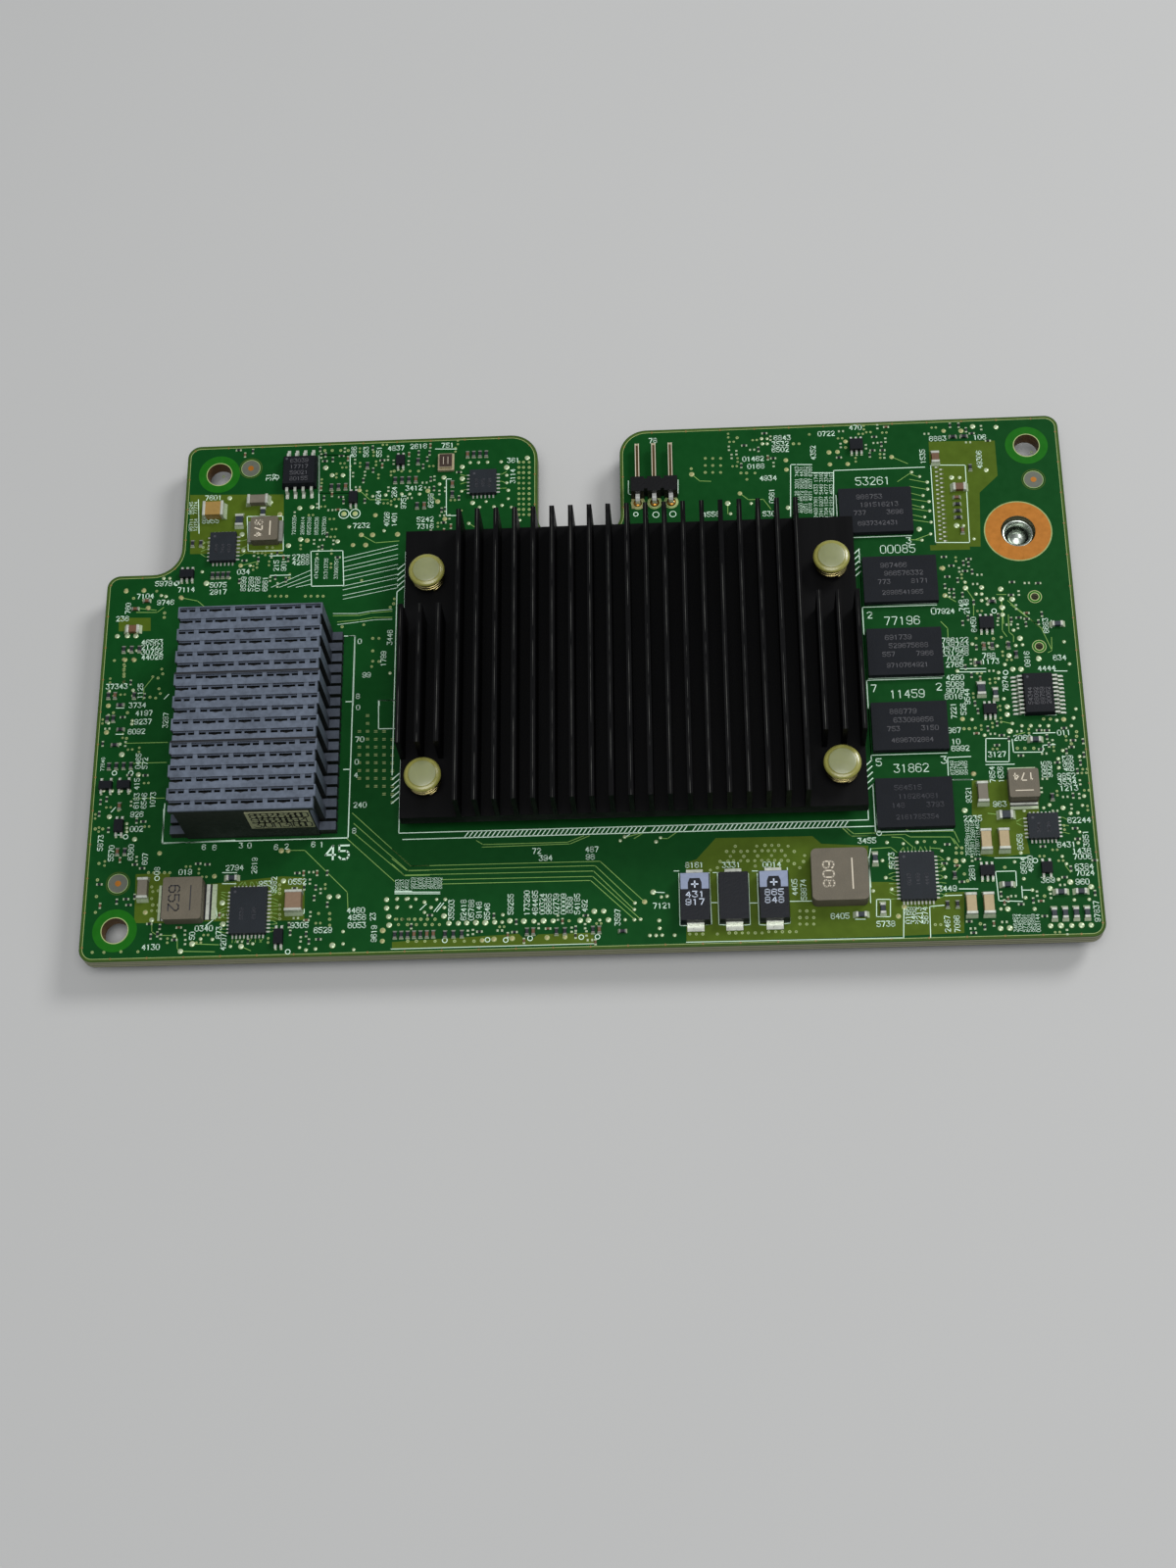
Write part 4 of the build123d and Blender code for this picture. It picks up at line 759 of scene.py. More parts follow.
        360, 1090), (500, 1240, 560, 1225)),
), dict(
    place=spot(340, 520, 7.127),
    dots=(370, 155, 118, 125, 33, 232, 413, 1190),
    vias=(205, 188, 290, 185, 465, 178, 303, 42, 145, 258, 237, 258, 207, 515, 445, 650, 440, 685, 415, 710, 222, 838,
        65, 853, 288, 937, 333, 937, 288, 1028, 288, 1103, 333, 1105, 280, 1142),
    numbers=(210, 120, 4, 243, 1203, 2),
    upright=(412, 930, 4, 365, 1085, 4),
    ink=((80, 920, 160, 920, 145, 1425), (335, 1425, 335, 1388, 460, 1388)),
    fine=(*[(71, 353 + 68 * n + shift, 470, 257 + 71 * n + shift) for n in range(5) for shift in (0, 27)], *[(-450 + 60
        * n, 565, -160, 440 + 34 * n) for n in range(4)], (0, 756, 178, 756, 270, 739, 428, 725), (31, 837, 188, 817,
        299, 802, 428, 798)),
    trace=((0, 772, 188, 770, 275, 751, 428, 739), (31, 817, 188, 803, 290, 785, 428, 784)),
), dict(
    place=spot(340, 700, 7.127),
    numbers=(195, 865, 3),
    ink=((330, 105, 465, 105, 460, 310, 330, 312, 330, 105),),
    trace=((140, 925, 565, 1310, 700, 1306), (150, 1000, 545, 1345, 700, 1341), (150, 1070, 520, 1380, 700, 1376),
        (100, 1110, 445, 1420)),
)]


def top_loops():
    """Outline and holes of the board, read from its top face, the widest loop first."""
    data = nodes["circuit_board"].data
    edges = {}
    for polygon in data.polygons:
        if polygon.normal.z > 0.9 and all(data.vertices[i].co.z > (TOP - 0.05) * MM for i in polygon.vertices):
            ring = [tuple(round(c / MM, 3) for c in data.vertices[i].co[:2]) for i in polygon.vertices]
            edges.update(dict.fromkeys(zip(ring, ring[1:] + ring[:1])))
    onward = {a: b for a, b in edges if (b, a) not in edges and a != b}
    loops = []
    while onward:
        start, here = onward.popitem()
        loop = [start]
        while here != start and here in onward:
            loop.append(here)
            here = onward.pop(here)
        loops.append(loop)
    return sorted(loops, key=lambda loop: -(max(p[0] for p in loop) - min(p[0] for p in loop)))


def inset(loop, distance):
    """The loop moved inwards by a distance, corner by corner."""
    moved = []
    for before, here, after in zip(loop[-1:] + loop[:-1], loop, loop[1:] + loop[:1]):
        one = Vector((here[0] - before[0], here[1] - before[1])).normalized()
        two = Vector((after[0] - here[0], after[1] - here[1])).normalized()
        side = Vector((-one.y - two.y, one.x + two.x))
        side = side / max(side.length_squared / 2, 1e-6)
        moved.append((here[0] + side.x * distance, here[1] + side.y * distance))
    return moved


def ribbon(mesh, loop, near, far, z, slot):
    """A flat band inside a loop, between two distances from it."""
    rows = inset(loop, near) + inset(loop, far)
    mesh.add([(x, y, z) for x, y in rows], band(0, len(loop), len(loop)), slot)


outline, *holes = top_loops()
margin = inset(outline, 0.75)
hole_discs = []
for hole in holes:
    xs, ys = zip(*hole)
    hole_discs.append(((min(xs) + max(xs)) / 2, (min(ys) + max(ys)) / 2, (max(xs) - min(xs)) / 2))


def on_board(x, y):
    """True where the mask lies: inside the outline, clear of every hole."""
    within = False
    for (xa, ya), (xb, yb) in zip(margin, margin[1:] + margin[:1]):
        if (ya > y) != (yb > y) and x < xa + (y - ya) * (xb - xa) / (yb - ya):
            within = not within
    return within and all(math.hypot(x - cx, y - cy) > r + 0.35 for cx, cy, r in hole_discs)


ink, tinned, copper, vias, tracks, pours, marking, prints = (Mesh() for _ in range(8))
busy, texts = [], []


def reserve(taken, x, y, gap_x, gap_y):
    taken.append((x - gap_x, y - gap_y, x + gap_x, y + gap_y))


def free(x, y, gap_x, gap_y, taken):
    """True where a box round a place meets none of the boxes already taken."""
    return all(x + gap_x < x0 or x - gap_x > x1 or y + gap_y < y0 or y - gap_y > y1 for x0, y0, x1, y1 in taken)


def write(x, y, count, height, turn, weight):
    """Numerals on the mask, kept clear of the board's edge, the holes and each other."""
    reach = count * height * 0.4
    text = number(count)
    ends = [(x + side * reach * math.cos(turn), y + side * reach * math.sin(turn)) for side in (-1, 0, 1)]
    wide, deep = (reach, height / 2) if turn == 0 else (height / 2, reach)
    if all(on_board(a, b) for a, b in ends) and free(x, y, wide - 0.1, deep - 0.1, texts):
        ink.digits(x, y, text, height, turn, NUMERAL, weight=weight, narrow=0.93)
        reserve(texts, x, y, wide, deep)


def draw_pad(x, y, r):
    tinned.disc(x, y, r * 1.12, FILM, 16, 1)
    tinned.dome(x, y, r, 0.07, FILM, 12)


def draw_land(x, y, r):
    copper.disc(x, y, r * 1.15, LAND, 16, 1)
    copper.dome(x, y, r * 0.9, 0.05, LAND, 12, 2)


def draw_via(x, y, r):
    vias.ring(x, y, r * 0.45, r * 1.1, VIA, 12)
    vias.disc(x, y, r * 0.45, HOLLOW, 8, 1)


# The marks of a region: what draws a round one and its radius; height, turn and weight of numerals
ROUND = {"pads": (draw_pad, 0.36), "dots": (draw_pad, 0.24), "lands": (draw_land, 0.33), "vias": (draw_via, 0.21)}
TEXT = {"numbers": (0.78, 0, 0.12), "upright": (0.74, math.pi / 2, 0.11), "small": (0.52, math.pi / 2, 0.06)}
pour_level = POUR_START
front_limit = box_mm("circuit_board")[0][1] + 0.5
for region in REGIONS:
    place = region["place"]
    for kind, (draw, radius) in ROUND.items():
        for x, y in (place(a, b) for a, b in groups(region.get(kind, ()), 2)):
            r = radius * rng.uniform(0.9, 1.1)
            if on_board(x, y):
                draw(x, y, r)
                reserve(busy, x, y, r, r)
    for kind, style in TEXT.items():
        for a, b, count in groups(region.get(kind, ()), 3):
            write(*place(a, b), count, *style)
    lines = {kind: [[place(a, b) for a, b in groups(flat, 2)] for flat in region.get(kind, ())]
             for kind in ("ink", "fine", "trace", "pour")}
    for points in lines["ink"]:
        ink.line([(x, max(y, front_limit)) for x, y in points], 0.12, INK)
    for a, b in groups(region.get("rings", ()), 2):
        ink.ring(*place(a, b), 0.28, 0.40, INK, 16)
    for points in lines["fine"]:
        ink.line(points, 0.07, UNDER_INK)
    for points in lines["trace"]:
        tracks.line(points, 0.10, TRACK)
    for points in lines["pour"]:
        pour_level += POUR_RISE
        pours.flat(points, pour_level)

# Power pour round the three polymer capacitors and the front inductor
pours.flat([at(u, v) for u, v in ((700.5, 961), (700, 880), (710.5, 877), (730.4, 855.2), (829, 853.2), (838, 861),
                                  (886, 863), (886, 900), (916, 900), (917, 918), (963, 916), (964, 911),
                                  (984, 910), (984, 952), (920, 955), (860, 957))], POWER)

# Thin bright lines along the front of the two power pours
for ends in (((700.5, 961.5), (921, 957)), ((399, 968.5), (606, 963))):
    ink.line([at(u, v) for u, v in ends], 0.10, INK)

# Large numerals: above each memory package, beside the capacitors and in front of the connector
big, low = spot(820, 420, 4.9), spot(740, 700, 6.031)
for near, places, count, height, narrow in (
        (big, ((345, 347), (470, 687), (492, 1045)), 5, 1.3, 0.9), (low, ((1120, 48), (1145, 505)), 5, 1.25, 0.9),
        (low, ((915, 15), (1315, 5), (945, 470), (1345, 455)), 1, 1.1, 1.0),
        (big, ((525, 645), (330, 1018), (650, 998)), 1, 1.0, 1.0)):
    for a, b in places:
        ink.digits(*near(a, b), number(count), height, 0, NUMERAL, 0, 0.12 if count == 5 else 0.13, narrow)
ink.digits(*spot(80, 840, 4.61)(1218, 138), number(2), 2.1, 0, NUMERAL, weight=0.26)

# Screened outline of the connector with a tick and a numeral at each module
left, right, back, front, tick = -61.9, -34.6, 8.4, -24.2, -35.6
for ends in (((right, back), (right, front)), ((right, front), (left, front)), ((left, front), (left, -18)),
             ((right, back), (tick, back)), ((right, -2.46), (tick, -2.46)), ((right, -13.4), (tick, -13.4))):
    ink.line(ends, 0.15, INK)
for u, v in ((367, 654.5), (365.2, 710.6), (365.4, 722), (364, 777.5), (363.2, 791), (361.4, 847.8)):
    ink.digits(*at(u, v), number(1), 0.75, 0, NUMERAL, weight=0.12)
ink.digits(*at(367, 754.5), number(2), 0.78, 0, NUMERAL, weight=0.12)

# Hatched frame round the heat sink
left, right, front = -27.2, 40.7, -23.7
for points in (((left, 22.4), (left, front), (right, front), (right, 22.4)),
               ((left + 0.6, front - 1.0), (right + 0.8, front - 1.0)),
               ((left - 1.2, -14.5), (left - 1.2, 15.5)), ((right + 0.9, 20.0), (right + 0.9, -14.5))):
    ink.line(points, 0.13, INK)
for n in range(84):
    x = -17.6 + n * 0.66
    if not 8.2 < x < 9.0 and not 14.4 < x < 15.2:
        ink.line([(x, front - 0.93), (x + 0.6, front - 0.06)], 0.15, INK)
for start in (16.0, -18.6):
    for n in range(5):
        y = start + n * 0.95
        ink.line([(left - 1.15, y - 0.4), (left - 0.15, y + 0.5)], 0.16, INK)
        ink.line([(right + 0.1, y - 0.4), (right + 0.95, y + 0.4)], 0.16, INK)

# Double rows of small plated pads between the connector and the heat sink
grid = spot(340, 700, 7.127)
for column, first, last in ((190, 330, 680), (250, 215, 730), (310, 330, 780), (370, 330, 840), (430, 390, 900)):
    for row in range(first, last, 57):
        x, y = grid(column, row)
        copper.rect(x, y - 0.13, 0.5, 0.1, PAD, slot=3)
        copper.rect(x, y + 0.13, 0.5, 0.1, PAD, slot=1)

# Border of the board, with a row of dots that follows it
ribbon(pours, outline, 0.05, 0.42, STRIP, 1)
ribbon(pours, outline, 0.42, 0.50, STEP, 2)
DOT_PITCH = 5.3
border, length = inset(outline, 0.45), 0.0
for (x0, y0), (x1, y1) in zip(border, border[1:]):
    long = math.hypot(x1 - x0, y1 - y0)
    while length < long:
        share = length / long
        vias.disc(x0 + (x1 - x0) * share, y0 + (y1 - y0) * share, 0.16, UNDER_INK, 8, 2)
        length += DOT_PITCH
    length -= long

# Plating of the three mounting holes and the two small holes
for cx, cy, r in hole_discs:
    if 1.8 < r < 2.2:
        pours.ring(cx, cy, r + 0.02, r + 1.35, OVER_TRACK, 48, 3)
        copper.ring(cx, cy, r + 0.005, r + 0.13, FILM, 48, 3)
        copper.lathe(cx, cy, [(r - 0.01, BOTTOM + 0.02), (r - 0.01, TOP - 0.02)], 48, 4)
    elif r < 0.8:
        copper.ring(cx, cy, r + 0.01, r + 0.14, PLATE, 28, 3)
        pours.ring(cx, cy, r + 0.14, r + 0.40, FILM, 28, 3)
        copper.ring(cx, cy, r + 0.40, r + 0.50, FILM, 28, 3)

FIDUCIALS = ((-51.8, 38.0), (68.6, 31.1), (-68.0, -30.3))
for x, y in FIDUCIALS:
    pours.ring(x, y, 1.66, 1.8, UNDER_INK, 36, 1)
    pours.ring(x, y, 1.42, 1.5, RIM, 36, 2)
    tinned.disc(x, y, 1.42, TRACK, 36, 3)
    copper.disc(x, y, 0.45, PLATE, 20)

# Bare copper ring round the sleeve
sleeve_lo, sleeve_hi = box_mm("screw_sleeve")
ring_at = middle(sleeve_lo, sleeve_hi)
copper.ring(*ring_at, 2.6, 4.93, FILM, 72)
copper.ring(*ring_at, 4.93, 5.1, TRACK, 72, 1)

# Ringed test points
for u, v in ((351, 524.5), (362.4, 524.2)):
    ink.ring(*at(u, v), 0.72, 0.84, INK, 28)
    copper.dome(*at(u, v), 0.4, 0.05, PAD, 20, 3)

# Solder of the header's pins, the first one on a square pad, and two screened rings
copper.rect(8.35, 29.4, 1.85, 1.85, SQUARE, slot=2)
for x in (8.35, 10.95, 13.55):
    if x > 9:
        copper.ring(x, 29.4, 0.62, 0.92, PLATE, 32, 3)
    copper.dome(x, 29.4, 0.66, 0.22, PLATE, 20, 5)
    tinned.dome(x + 0.28, 29.3, 0.2, 0.36, PLATE, 10)
for x in (11.1, 13.7):
    ink.ring(x, 27.3, 0.42, 0.53, INK, 20)


def chip(mesh, lo, hi, body, pad, ends_slot):
    """A small chip: glazed or ceramic body, plated ends, and solder that reaches out by pad."""
    (x0, y0, z0), (x1, y1, z1) = lo, hi
    length = max(x1 - x0, y1 - y0)
    cap = min(length * 0.24, 0.42) if length > 1.1 else length * 0.2
    t = 0.03 * length
    if y1 - y0 > x1 - x0:
        mesh.box((x0 + t, y0 + cap * 0.9, z0), (x1 - t, y1 - cap * 0.9, z1 - t * 0.8), 0.05, body)
        ends = (((x0, y0, z0), (x1, y0 + cap, z1)), ((x0, y1 - cap, z0), (x1, y1, z1)))
        pads = ((x0 - 0.06, y0 - pad, x1 + 0.06, y0, 1), (x0 - 0.06, y1, x1 + 0.06, y1 + pad, 3))
    else:
        mesh.box((x0 + cap * 0.9, y0 + t, z0), (x1 - cap * 0.9, y1 - t, z1 - t * 0.8), 0.05, body)
        ends = (((x0, y0, z0), (x0 + cap, y1, z1)), ((x1 - cap, y0, z0), (x1, y1, z1)))
        pads = ((x0 - pad, y0 - 0.06, x0, y1 + 0.06, 0), (x1, y0 - 0.06, x1 + pad, y1 + 0.06, 2))
    for a, b in ends:
        mesh.box(a, b, 0.06, ends_slot)
    for *sides, side in pads:
        mesh.wedge(*sides, 0.03, min(0.55 * (z1 - z0), 0.6), side, 7)


# Zones packed with tiny parts and bare pads: left, top, right, bottom in photograph pixels, and tries
ZONES = (326, 442, 388, 512, 120, 388, 446, 470, 520, 150, 300, 516, 345, 580, 60, 232, 564, 300, 598, 60,
         982, 612, 1030, 640, 40, 985, 655, 1032, 700, 90, 982, 700, 1036, 752, 100, 1010, 738, 1108, 772, 140,
         1062, 772, 1112, 850, 110, 1058, 852, 1118, 912, 90, 400, 934, 612, 962, 220, 986, 912, 1118, 962, 160,
         96, 694, 150, 772, 80, 92, 775, 150, 850, 80, 96, 872, 146, 938, 60, 150, 930, 330, 962, 160,
         190, 878, 212, 925, 30, 300, 884, 336, 930, 50, 742, 442, 790, 476, 50, 852, 432, 905, 470, 50,
         940, 425, 1010, 452, 50, 1030, 590, 1070, 640, 40, 240, 440, 262, 466, 30, 430, 520, 470, 545, 30,
         962, 566, 1000, 620, 40, 960, 860, 1000, 900, 40)
for name in nodes:
    if name not in ("circuit_board", "heat_sink", "push_pins", "push_pin_springs", "captive_screw"):
        busy += [(lo[0] - 0.2, lo[1] - 0.2, hi[0] + 0.2, hi[1] + 0.2) for lo, hi in islands(name)]
for x, y, r in [(x, y, 1.9) for x, y in FIDUCIALS] + [(10.95, 28.6, 3.6)] + [(x, y, r + 1.4) for x, y, r in hole_discs]:
    reserve(busy, x, y, r, r)
busy += texts

small_parts = []
for u0, v0, u1, v1, tries in groups(ZONES, 5):
    for _ in range(tries):
        x, y = at(rng.uniform(u0, u1), rng.uniform(v0, v1))
        upright = rng.random() < 0.6
        kind = rng.random()
        gaps = (0.26, 0.52) if upright else (0.52, 0.26)
        if on_board(x, y) and free(x, y, *gaps, busy):
            reserve(busy, x, y, *gaps)
            for side in (-0.32, 0.32):
                px, py = (x, y + side) if upright else (x + side, y)
                if kind < 0.75:
                    tinned.rect(px, py, 0.34, 0.28, PAD, math.pi / 2 * (not upright))
                else:
                    draw_via(px, py, 0.17)
            if kind < 0.5:
                small_parts.append((x, y, upright))

CHIP_MATERIALS = [BROWN, CHIP_BLACK, TAN, GREY, PINK, CHIP_BLUE, TIN, SOLDER, MATTE_TIN, ORANGE_TAN]
for name, slot, slot_name in (("tiny_parts", 0, "tiny_ceramic"), ("resistors", 5, "resistor_black"),
                              ("tan_capacitors", 2, "tan_ceramic"), ("grey_capacitors", 3, "grey_ceramic"),
                              ("brown_capacitors", 0, "brown_ceramic")):
    group = Mesh()
    for lo, hi in islands(name):
        body = rng.choice((0, 1, 1, 1, 1)) if name == "tiny_parts" else slot
        if name == "tan_capacitors" and lo[0] < 0:
            body = 9 if lo[1] > 0 else 4
        small = max(hi[0] - lo[0], hi[1] - lo[1]) < 1.3
        chip(group, lo, hi, body, 0.15 if small else 0.36, 8 if small else 6)
    if name == "tiny_parts":
        for x, y, upright in small_parts:
            half_x, half_y = (0.15, 0.22) if upright else (0.22, 0.15)
            group.box((x - half_x, y - half_y, TOP), (x + half_x, y + half_y, TOP + 0.2), 0.04,
                      rng.choice((0, 1, 1, 1, 1, 1)))
    group.make(name + "_detail", CHIP_MATERIALS, slot_name, name)

# Pads under the leads of every leaded package
for name, wide in (("eight_leads", 0.5), ("twenty_leads", 0.26)):
    centre = middle(*box_mm(name.replace("leads", "lead_body")))
    for lo, hi in islands(name):
        x, y = middle(lo, hi)
        if hi[0] - lo[0] > hi[1] - lo[1]:
            tinned.rect(x + (0.3 if x > centre[0] else -0.3), y, 1.15, wide, HOLLOW, slot=2)
        else:
            tinned.rect(x, y + (0.3 if y > centre[1] else -0.3), wide, 1.15, HOLLOW, slot=2)
for lo, hi in islands("transistor_leads"):
    tinned.rect(*middle(lo, hi), hi[0] - lo[0] + 0.02, hi[1] - lo[1] + 0.3, HOLLOW)

# Edge contacts of the flat packages: name, contacts along x, along y
for name, *counts in (("flat_package_back_left", 6, 7), ("flat_package_middle", 6, 6),
                      ("flat_package_front_left", 9, 12), ("flat_package_front_right", 9, 12),
                      ("flat_package_right", 7, 6)):
    corners = box_mm(name)
    at_front = name.startswith("flat_package_front")
    for axis, bend_limit, reaches in ((0, 0.5, (0.3, 0.6, 1.1)), (1, 0.6, (0.3, 0.8, 1.5))):
        begin, end = corners[0][axis], corners[1][axis]
        for n in range(counts[axis]):
            along = begin + (end - begin) * (n + 0.8) / (counts[axis] + 0.6)
            for edge, out in ((corners[0][1 - axis], -1), (corners[1][1 - axis], 1)):
                # a is along the side of the package, b is away from it
                turned = (lambda a, b: (b, a)) if axis else (lambda a, b: (a, b))
                tinned.rect(*turned(along, edge + out * 0.2), *turned(0.24, 0.6), PAD, slot=2)
                if at_front or axis and n % 2:
                    bend = rng.uniform(-bend_limit, bend_limit)
                    tracks.line([turned(along + shift, edge + out * reach)
                                 for shift, reach in zip((0, 0, bend), reaches)], 0.09, OVER_TRACK)

# Laser marking on the packages, in plain numerals
for n in (1, 2, 3, 4, 5):
    (x0, y0, z0), (x1, y1, z1) = box_mm("memory_chip_%d" % n)
    ink.line([(x0 - 0.3, y1 - 0.5), (x0 - 0.3, y0 - 0.28), (x1 - 0.3, y0 - 0.28)], 0.13, INK)
    for share, side, count, height in ((0.80, -0.08, 6, 0.72), (0.62, 0.05, 9, 0.7), (0.44, -0.22, 3, 0.7),
                                       (0.44, 0.26, 4, 0.7), (0.20, 0.02, 10, 0.66)):
        marking.digits((x0 + x1) / 2 + side * (x1 - x0), y0 + (y1 - y0) * share, number(count), height, 0,
                       z1 + LASER, int(n == 5), 0.09)
for name, rows, height, turn in (("twenty_lead_body", 4, 0.6, math.pi / 2), ("eight_lead_body", 4, 0.62, 0.0),
                                 ("flat_package_back_left", 3, 0.42, math.pi / 2),
                                 ("flat_package_middle", 3, 0.42, math.pi / 2),
                                 ("flat_package_front_right", 3, 0.5, math.pi / 2),
                                 ("flat_package_front_left", 2, 0.5, math.pi / 2),
                                 ("flat_package_right", 2, 0.42, math.pi / 2)):
    (x0, y0, z0), (x1, y1, z1) = box_mm(name)
    count, slot = (5, 0) if rows == 4 else (4, 1)
    for n in range(rows):
        share = (n + 1) / (rows + 1)
        x, y = (x0 + (x1 - x0) * share, y0 + (y1 - y0) * 0.42) if turn else ((x0 + x1) / 2, y0 + (y1 - y0) * share)
        marking.digits(x, y, number(count), height, turn, z1 + LASER, slot, 0.08)
    marking.disc(x0 + 0.7, y1 - 0.7, 0.2, z1 + LASER, 14, 1)

# Slots of the printed marks
SILVER, POLYMER_BODY, WHITE, CREAM, DARK, GAP_SHADE, WINDOW = range(7)

# A silver band with a plus, and numerals, on two of the polymer capacitors
for n in (1, 3):
    (x0, y0, z0), (x1, y1, z1) = box_mm("polymer_capacitor_%d" % n)
    cx = (x0 + x1) / 2
    edge = y1 - (y1 - y0) * 0.37
    prints.rect(cx, (edge + y1) / 2, x1 - x0 - 0.3, y1 - edge - 0.3, z1 + PRINT, slot=SILVER)
    prints.flat([(cx + a * 0.98, edge + 0.02 + b * 1.75) for a, b in
                 ((-1, 0), (1, 0), (1, 0.62), (0.72, 1), (-0.72, 1), (-1, 0.62))], z1 + OVERPRINT, POLYMER_BODY)
    for length, depth in ((1.05, 0.2), (0.2, 1.05)):
        prints.rect(cx, edge + 0.85, length, depth, z1 + TOPMOST, slot=WHITE)
    for below in (0.65, 1.8):
        prints.digits(cx, edge - below, number(3), 0.85, 0, z1 + OVERPRINT, WHITE, 0.14, 1.2)

# Painted sheen: pale strips along the edges of the header pins behind the body
back_face = box_mm("header_body")[1][1]
for lo, hi in islands("header_pins"):
    for x in (lo[0] + 0.07, hi[0] - 0.07):
        prints.rect(x, (back_face + hi[1]) / 2, 0.1, hi[1] - back_face - 0.15, hi[2] + PRINT, slot=CREAM)

# Terminals of the inductors: painted shadow next to the body, a folded tab, a dark seam of painted shade and a bead of
# solder in front of it
terminals = Mesh()
centres = [middle(*box_mm(name)) for name in ("inductor_front_left", "inductor_right", "inductor_back_left")]
for lo, hi in islands("inductor_terminals"):
    here = middle(lo, hi)
    near = min(centres, key=lambda c: math.hypot(c[0] - here[0], c[1] - here[1]))
    axis = 0 if hi[1] - lo[1] > hi[0] - lo[0] else 1
    begin, end = lo[axis], hi[axis]
    if here[axis] < near[axis]:
        begin, end = end, begin
    if hi[2] - lo[2] > 0.5:
        terminals.box(lo, hi, 0.05, 2)
        continue
    # Slot 3 pieces are painted shade: a low dark strip at the body and a dark line between tab and solder
    for share0, share1, top, slot in ((0, 0.14, 0.3, 3), (0.14, 0.44, 1, 0), (0.44, 0.6, 0.3, 3), (0.6, 1, 0.9, 1)):
        a, b = sorted((begin + (end - begin) * share0, begin + (end - begin) * share1))
        first, last = ((a, lo[1]), (b, hi[1])) if axis == 0 else ((lo[0], a), (hi[0], b))
        terminals.box((*first, lo[2]), (*last, lo[2] + (hi[2] - lo[2]) * top), 0.04, slot)
terminals.make("inductor_terminals_detail", [TIN, SOLDER, MATTE_TIN, INNER_DARK], "tinned", "inductor_terminals")

# Window of the oscillator with two bars of painted highlight
(x0, y0, z0), (x1, y1, z1) = box_mm("oscillator")
cx, cy = (x0 + x1) / 2, (y0 + y1) / 2
prints.rect(cx, cy, (x1 - x0) * 0.78, (y1 - y0) * 0.78, z1 + PRINT, slot=WINDOW)
for side in (-0.14, 0.14):
    prints.rect(cx + side * (x1 - x0), cy, 0.07, (y1 - y0) * 0.45, z1 + OVERPRINT, slot=CREAM)

# Numerals and a line on the inductors
for name, slot, height in (("inductor_front_right", CREAM, 1.5), ("inductor_front_left", DARK, 1.5),
                           ("inductor_back_left", CREAM, 1.1), ("inductor_right", CREAM, 1.1)):
    (x0, y0, z0), (x1, y1, z1) = box_mm(name)
    cx, cy, wide = (x0 + x1) / 2, (y0 + y1) / 2, x1 - x0
    if name == "inductor_right":
        prints.digits(cx, cy + 0.9, number(3), height, math.pi, z1 + LASER, slot, 0.16)
        prints.rect(cx, y0 + 1.0, wide * 0.6, 0.14, z1 + LASER, slot=slot)
    else:
        prints.digits(cx - wide * 0.2, cy, number(3), height, -math.pi / 2, z1 + LASER, slot, 0.2)
        prints.rect(cx + wide * 0.22, cy, 0.18, (y1 - y0) * 0.6, z1 + LASER, slot=slot)

# Rows of numerals on the connector's sticker, which is on its front wall
(x0, y0, z0), (x1, y1, z1) = box_mm("connector_label")
unit = (z1 - z0) / 3.6 / 6
face = y0 - LASER
for row in range(3):
    text = number(10)
    middle_z = z0 + (z1 - z0) * (0.2 + 0.3 * row)
    for place, letter in enumerate(text):
        begin = x0 + 0.55 + place * (x1 - x0 - 1.0) / 10
        for stroke in STROKES[letter]:
            pen = [(begin + a * unit * 0.9, middle_z + (b - 3) * unit) for a, b in stroke]
            for (xa, za), (xb, zb) in zip(pen, pen[1:]):
                span = math.hypot(xb - xa, zb - za)
                dx, dz = (xb - xa) / span * 0.1, (zb - za) / span * 0.1
                prints.add([(xa - dx + dz, face, za - dz - dx), (xb + dx + dz, face, zb + dz - dx),
                            (xb + dx - dz, face, zb + dz + dx), (xa - dx - dz, face, za - dz + dx)],
                           [[0, 1, 2, 3]], DARK)

# Painted shade: black lines in the gaps between the connector modules and along its rows; dark triangles in the same
# colour at the contact tips in front of the wide slots
ROW_PITCH = 1.783
for n in (1, 2, 3):
    (x0, y0, z0), (x1, y1, z1) = box_mm("connector_module_%d" % n)
    middle_x = (x0 + x1) / 2
    if n > 1:
        prints.rect(middle_x, y1 + 0.05, 21.2, 0.36, z1 + PRINT, slot=GAP_SHADE)
    for row in range(6):
        lip = y1 - ROW_PITCH * row - 0.85
        prints.rect(middle_x, lip + 0.62, 20.6, 0.06, z1 + PRINT, slot=GAP_SHADE)
        for slot_x in ((5.45, 10.65, 15.85) if row % 2 == 0 else (1.2, 6.4, 11.6, 16.8)):
            x = middle_x - 10.65 + slot_x
            prints.flat([(x - 0.6, lip + 0.02), (x, lip - 0.16), (x + 0.6, lip + 0.02)], z1 + PRINT, GAP_SHADE)

# Two columns of small contacts in the outlined footprint at the back right
for n in range(17):
    v = 477 + n * 4.55
    for side, u in enumerate((955.0, 959.6)):
        x, y = at(u + (v - 476) * 0.062, v + side * 2.2)
        tinned.rect(x, y, 0.36, 0.24, PAD, slot=2)
        vias.disc(x + 0.3, y, 0.14, VIA, 8, 1)

# Sleeve with its bright chamfer, and the captive screw with its thread and domed tip
sleeve = Mesh()
top, foot = sleeve_hi[2], sleeve_lo[2]
sleeve.lathe(*ring_at, [(1.76, foot), (1.76, top - 0.75), (1.95, top - 0.12), (2.12, top), (2.3, top),
                        (2.48, top - 0.15), (2.5, BOTTOM), (3.98, BOTTOM - 0.01), (4.0, foot + 0.1), (3.9, foot),
                        (1.76, foot)], 64)
sleeve.make("sleeve_detail", [STEEL], "sleeve_metal", "screw_sleeve")
screw = Mesh()
low, high = (corner[2] for corner in box_mm("captive_screw"))
head_top = foot - 0.02
THREAD_PITCH = 0.42
profile = [(0.0, low + 0.9), (1.0, low + 0.9), (1.05, low), (3.1, low), (3.38, low + 0.28), (3.4, head_top),
           (1.44, head_top)]
z = head_top
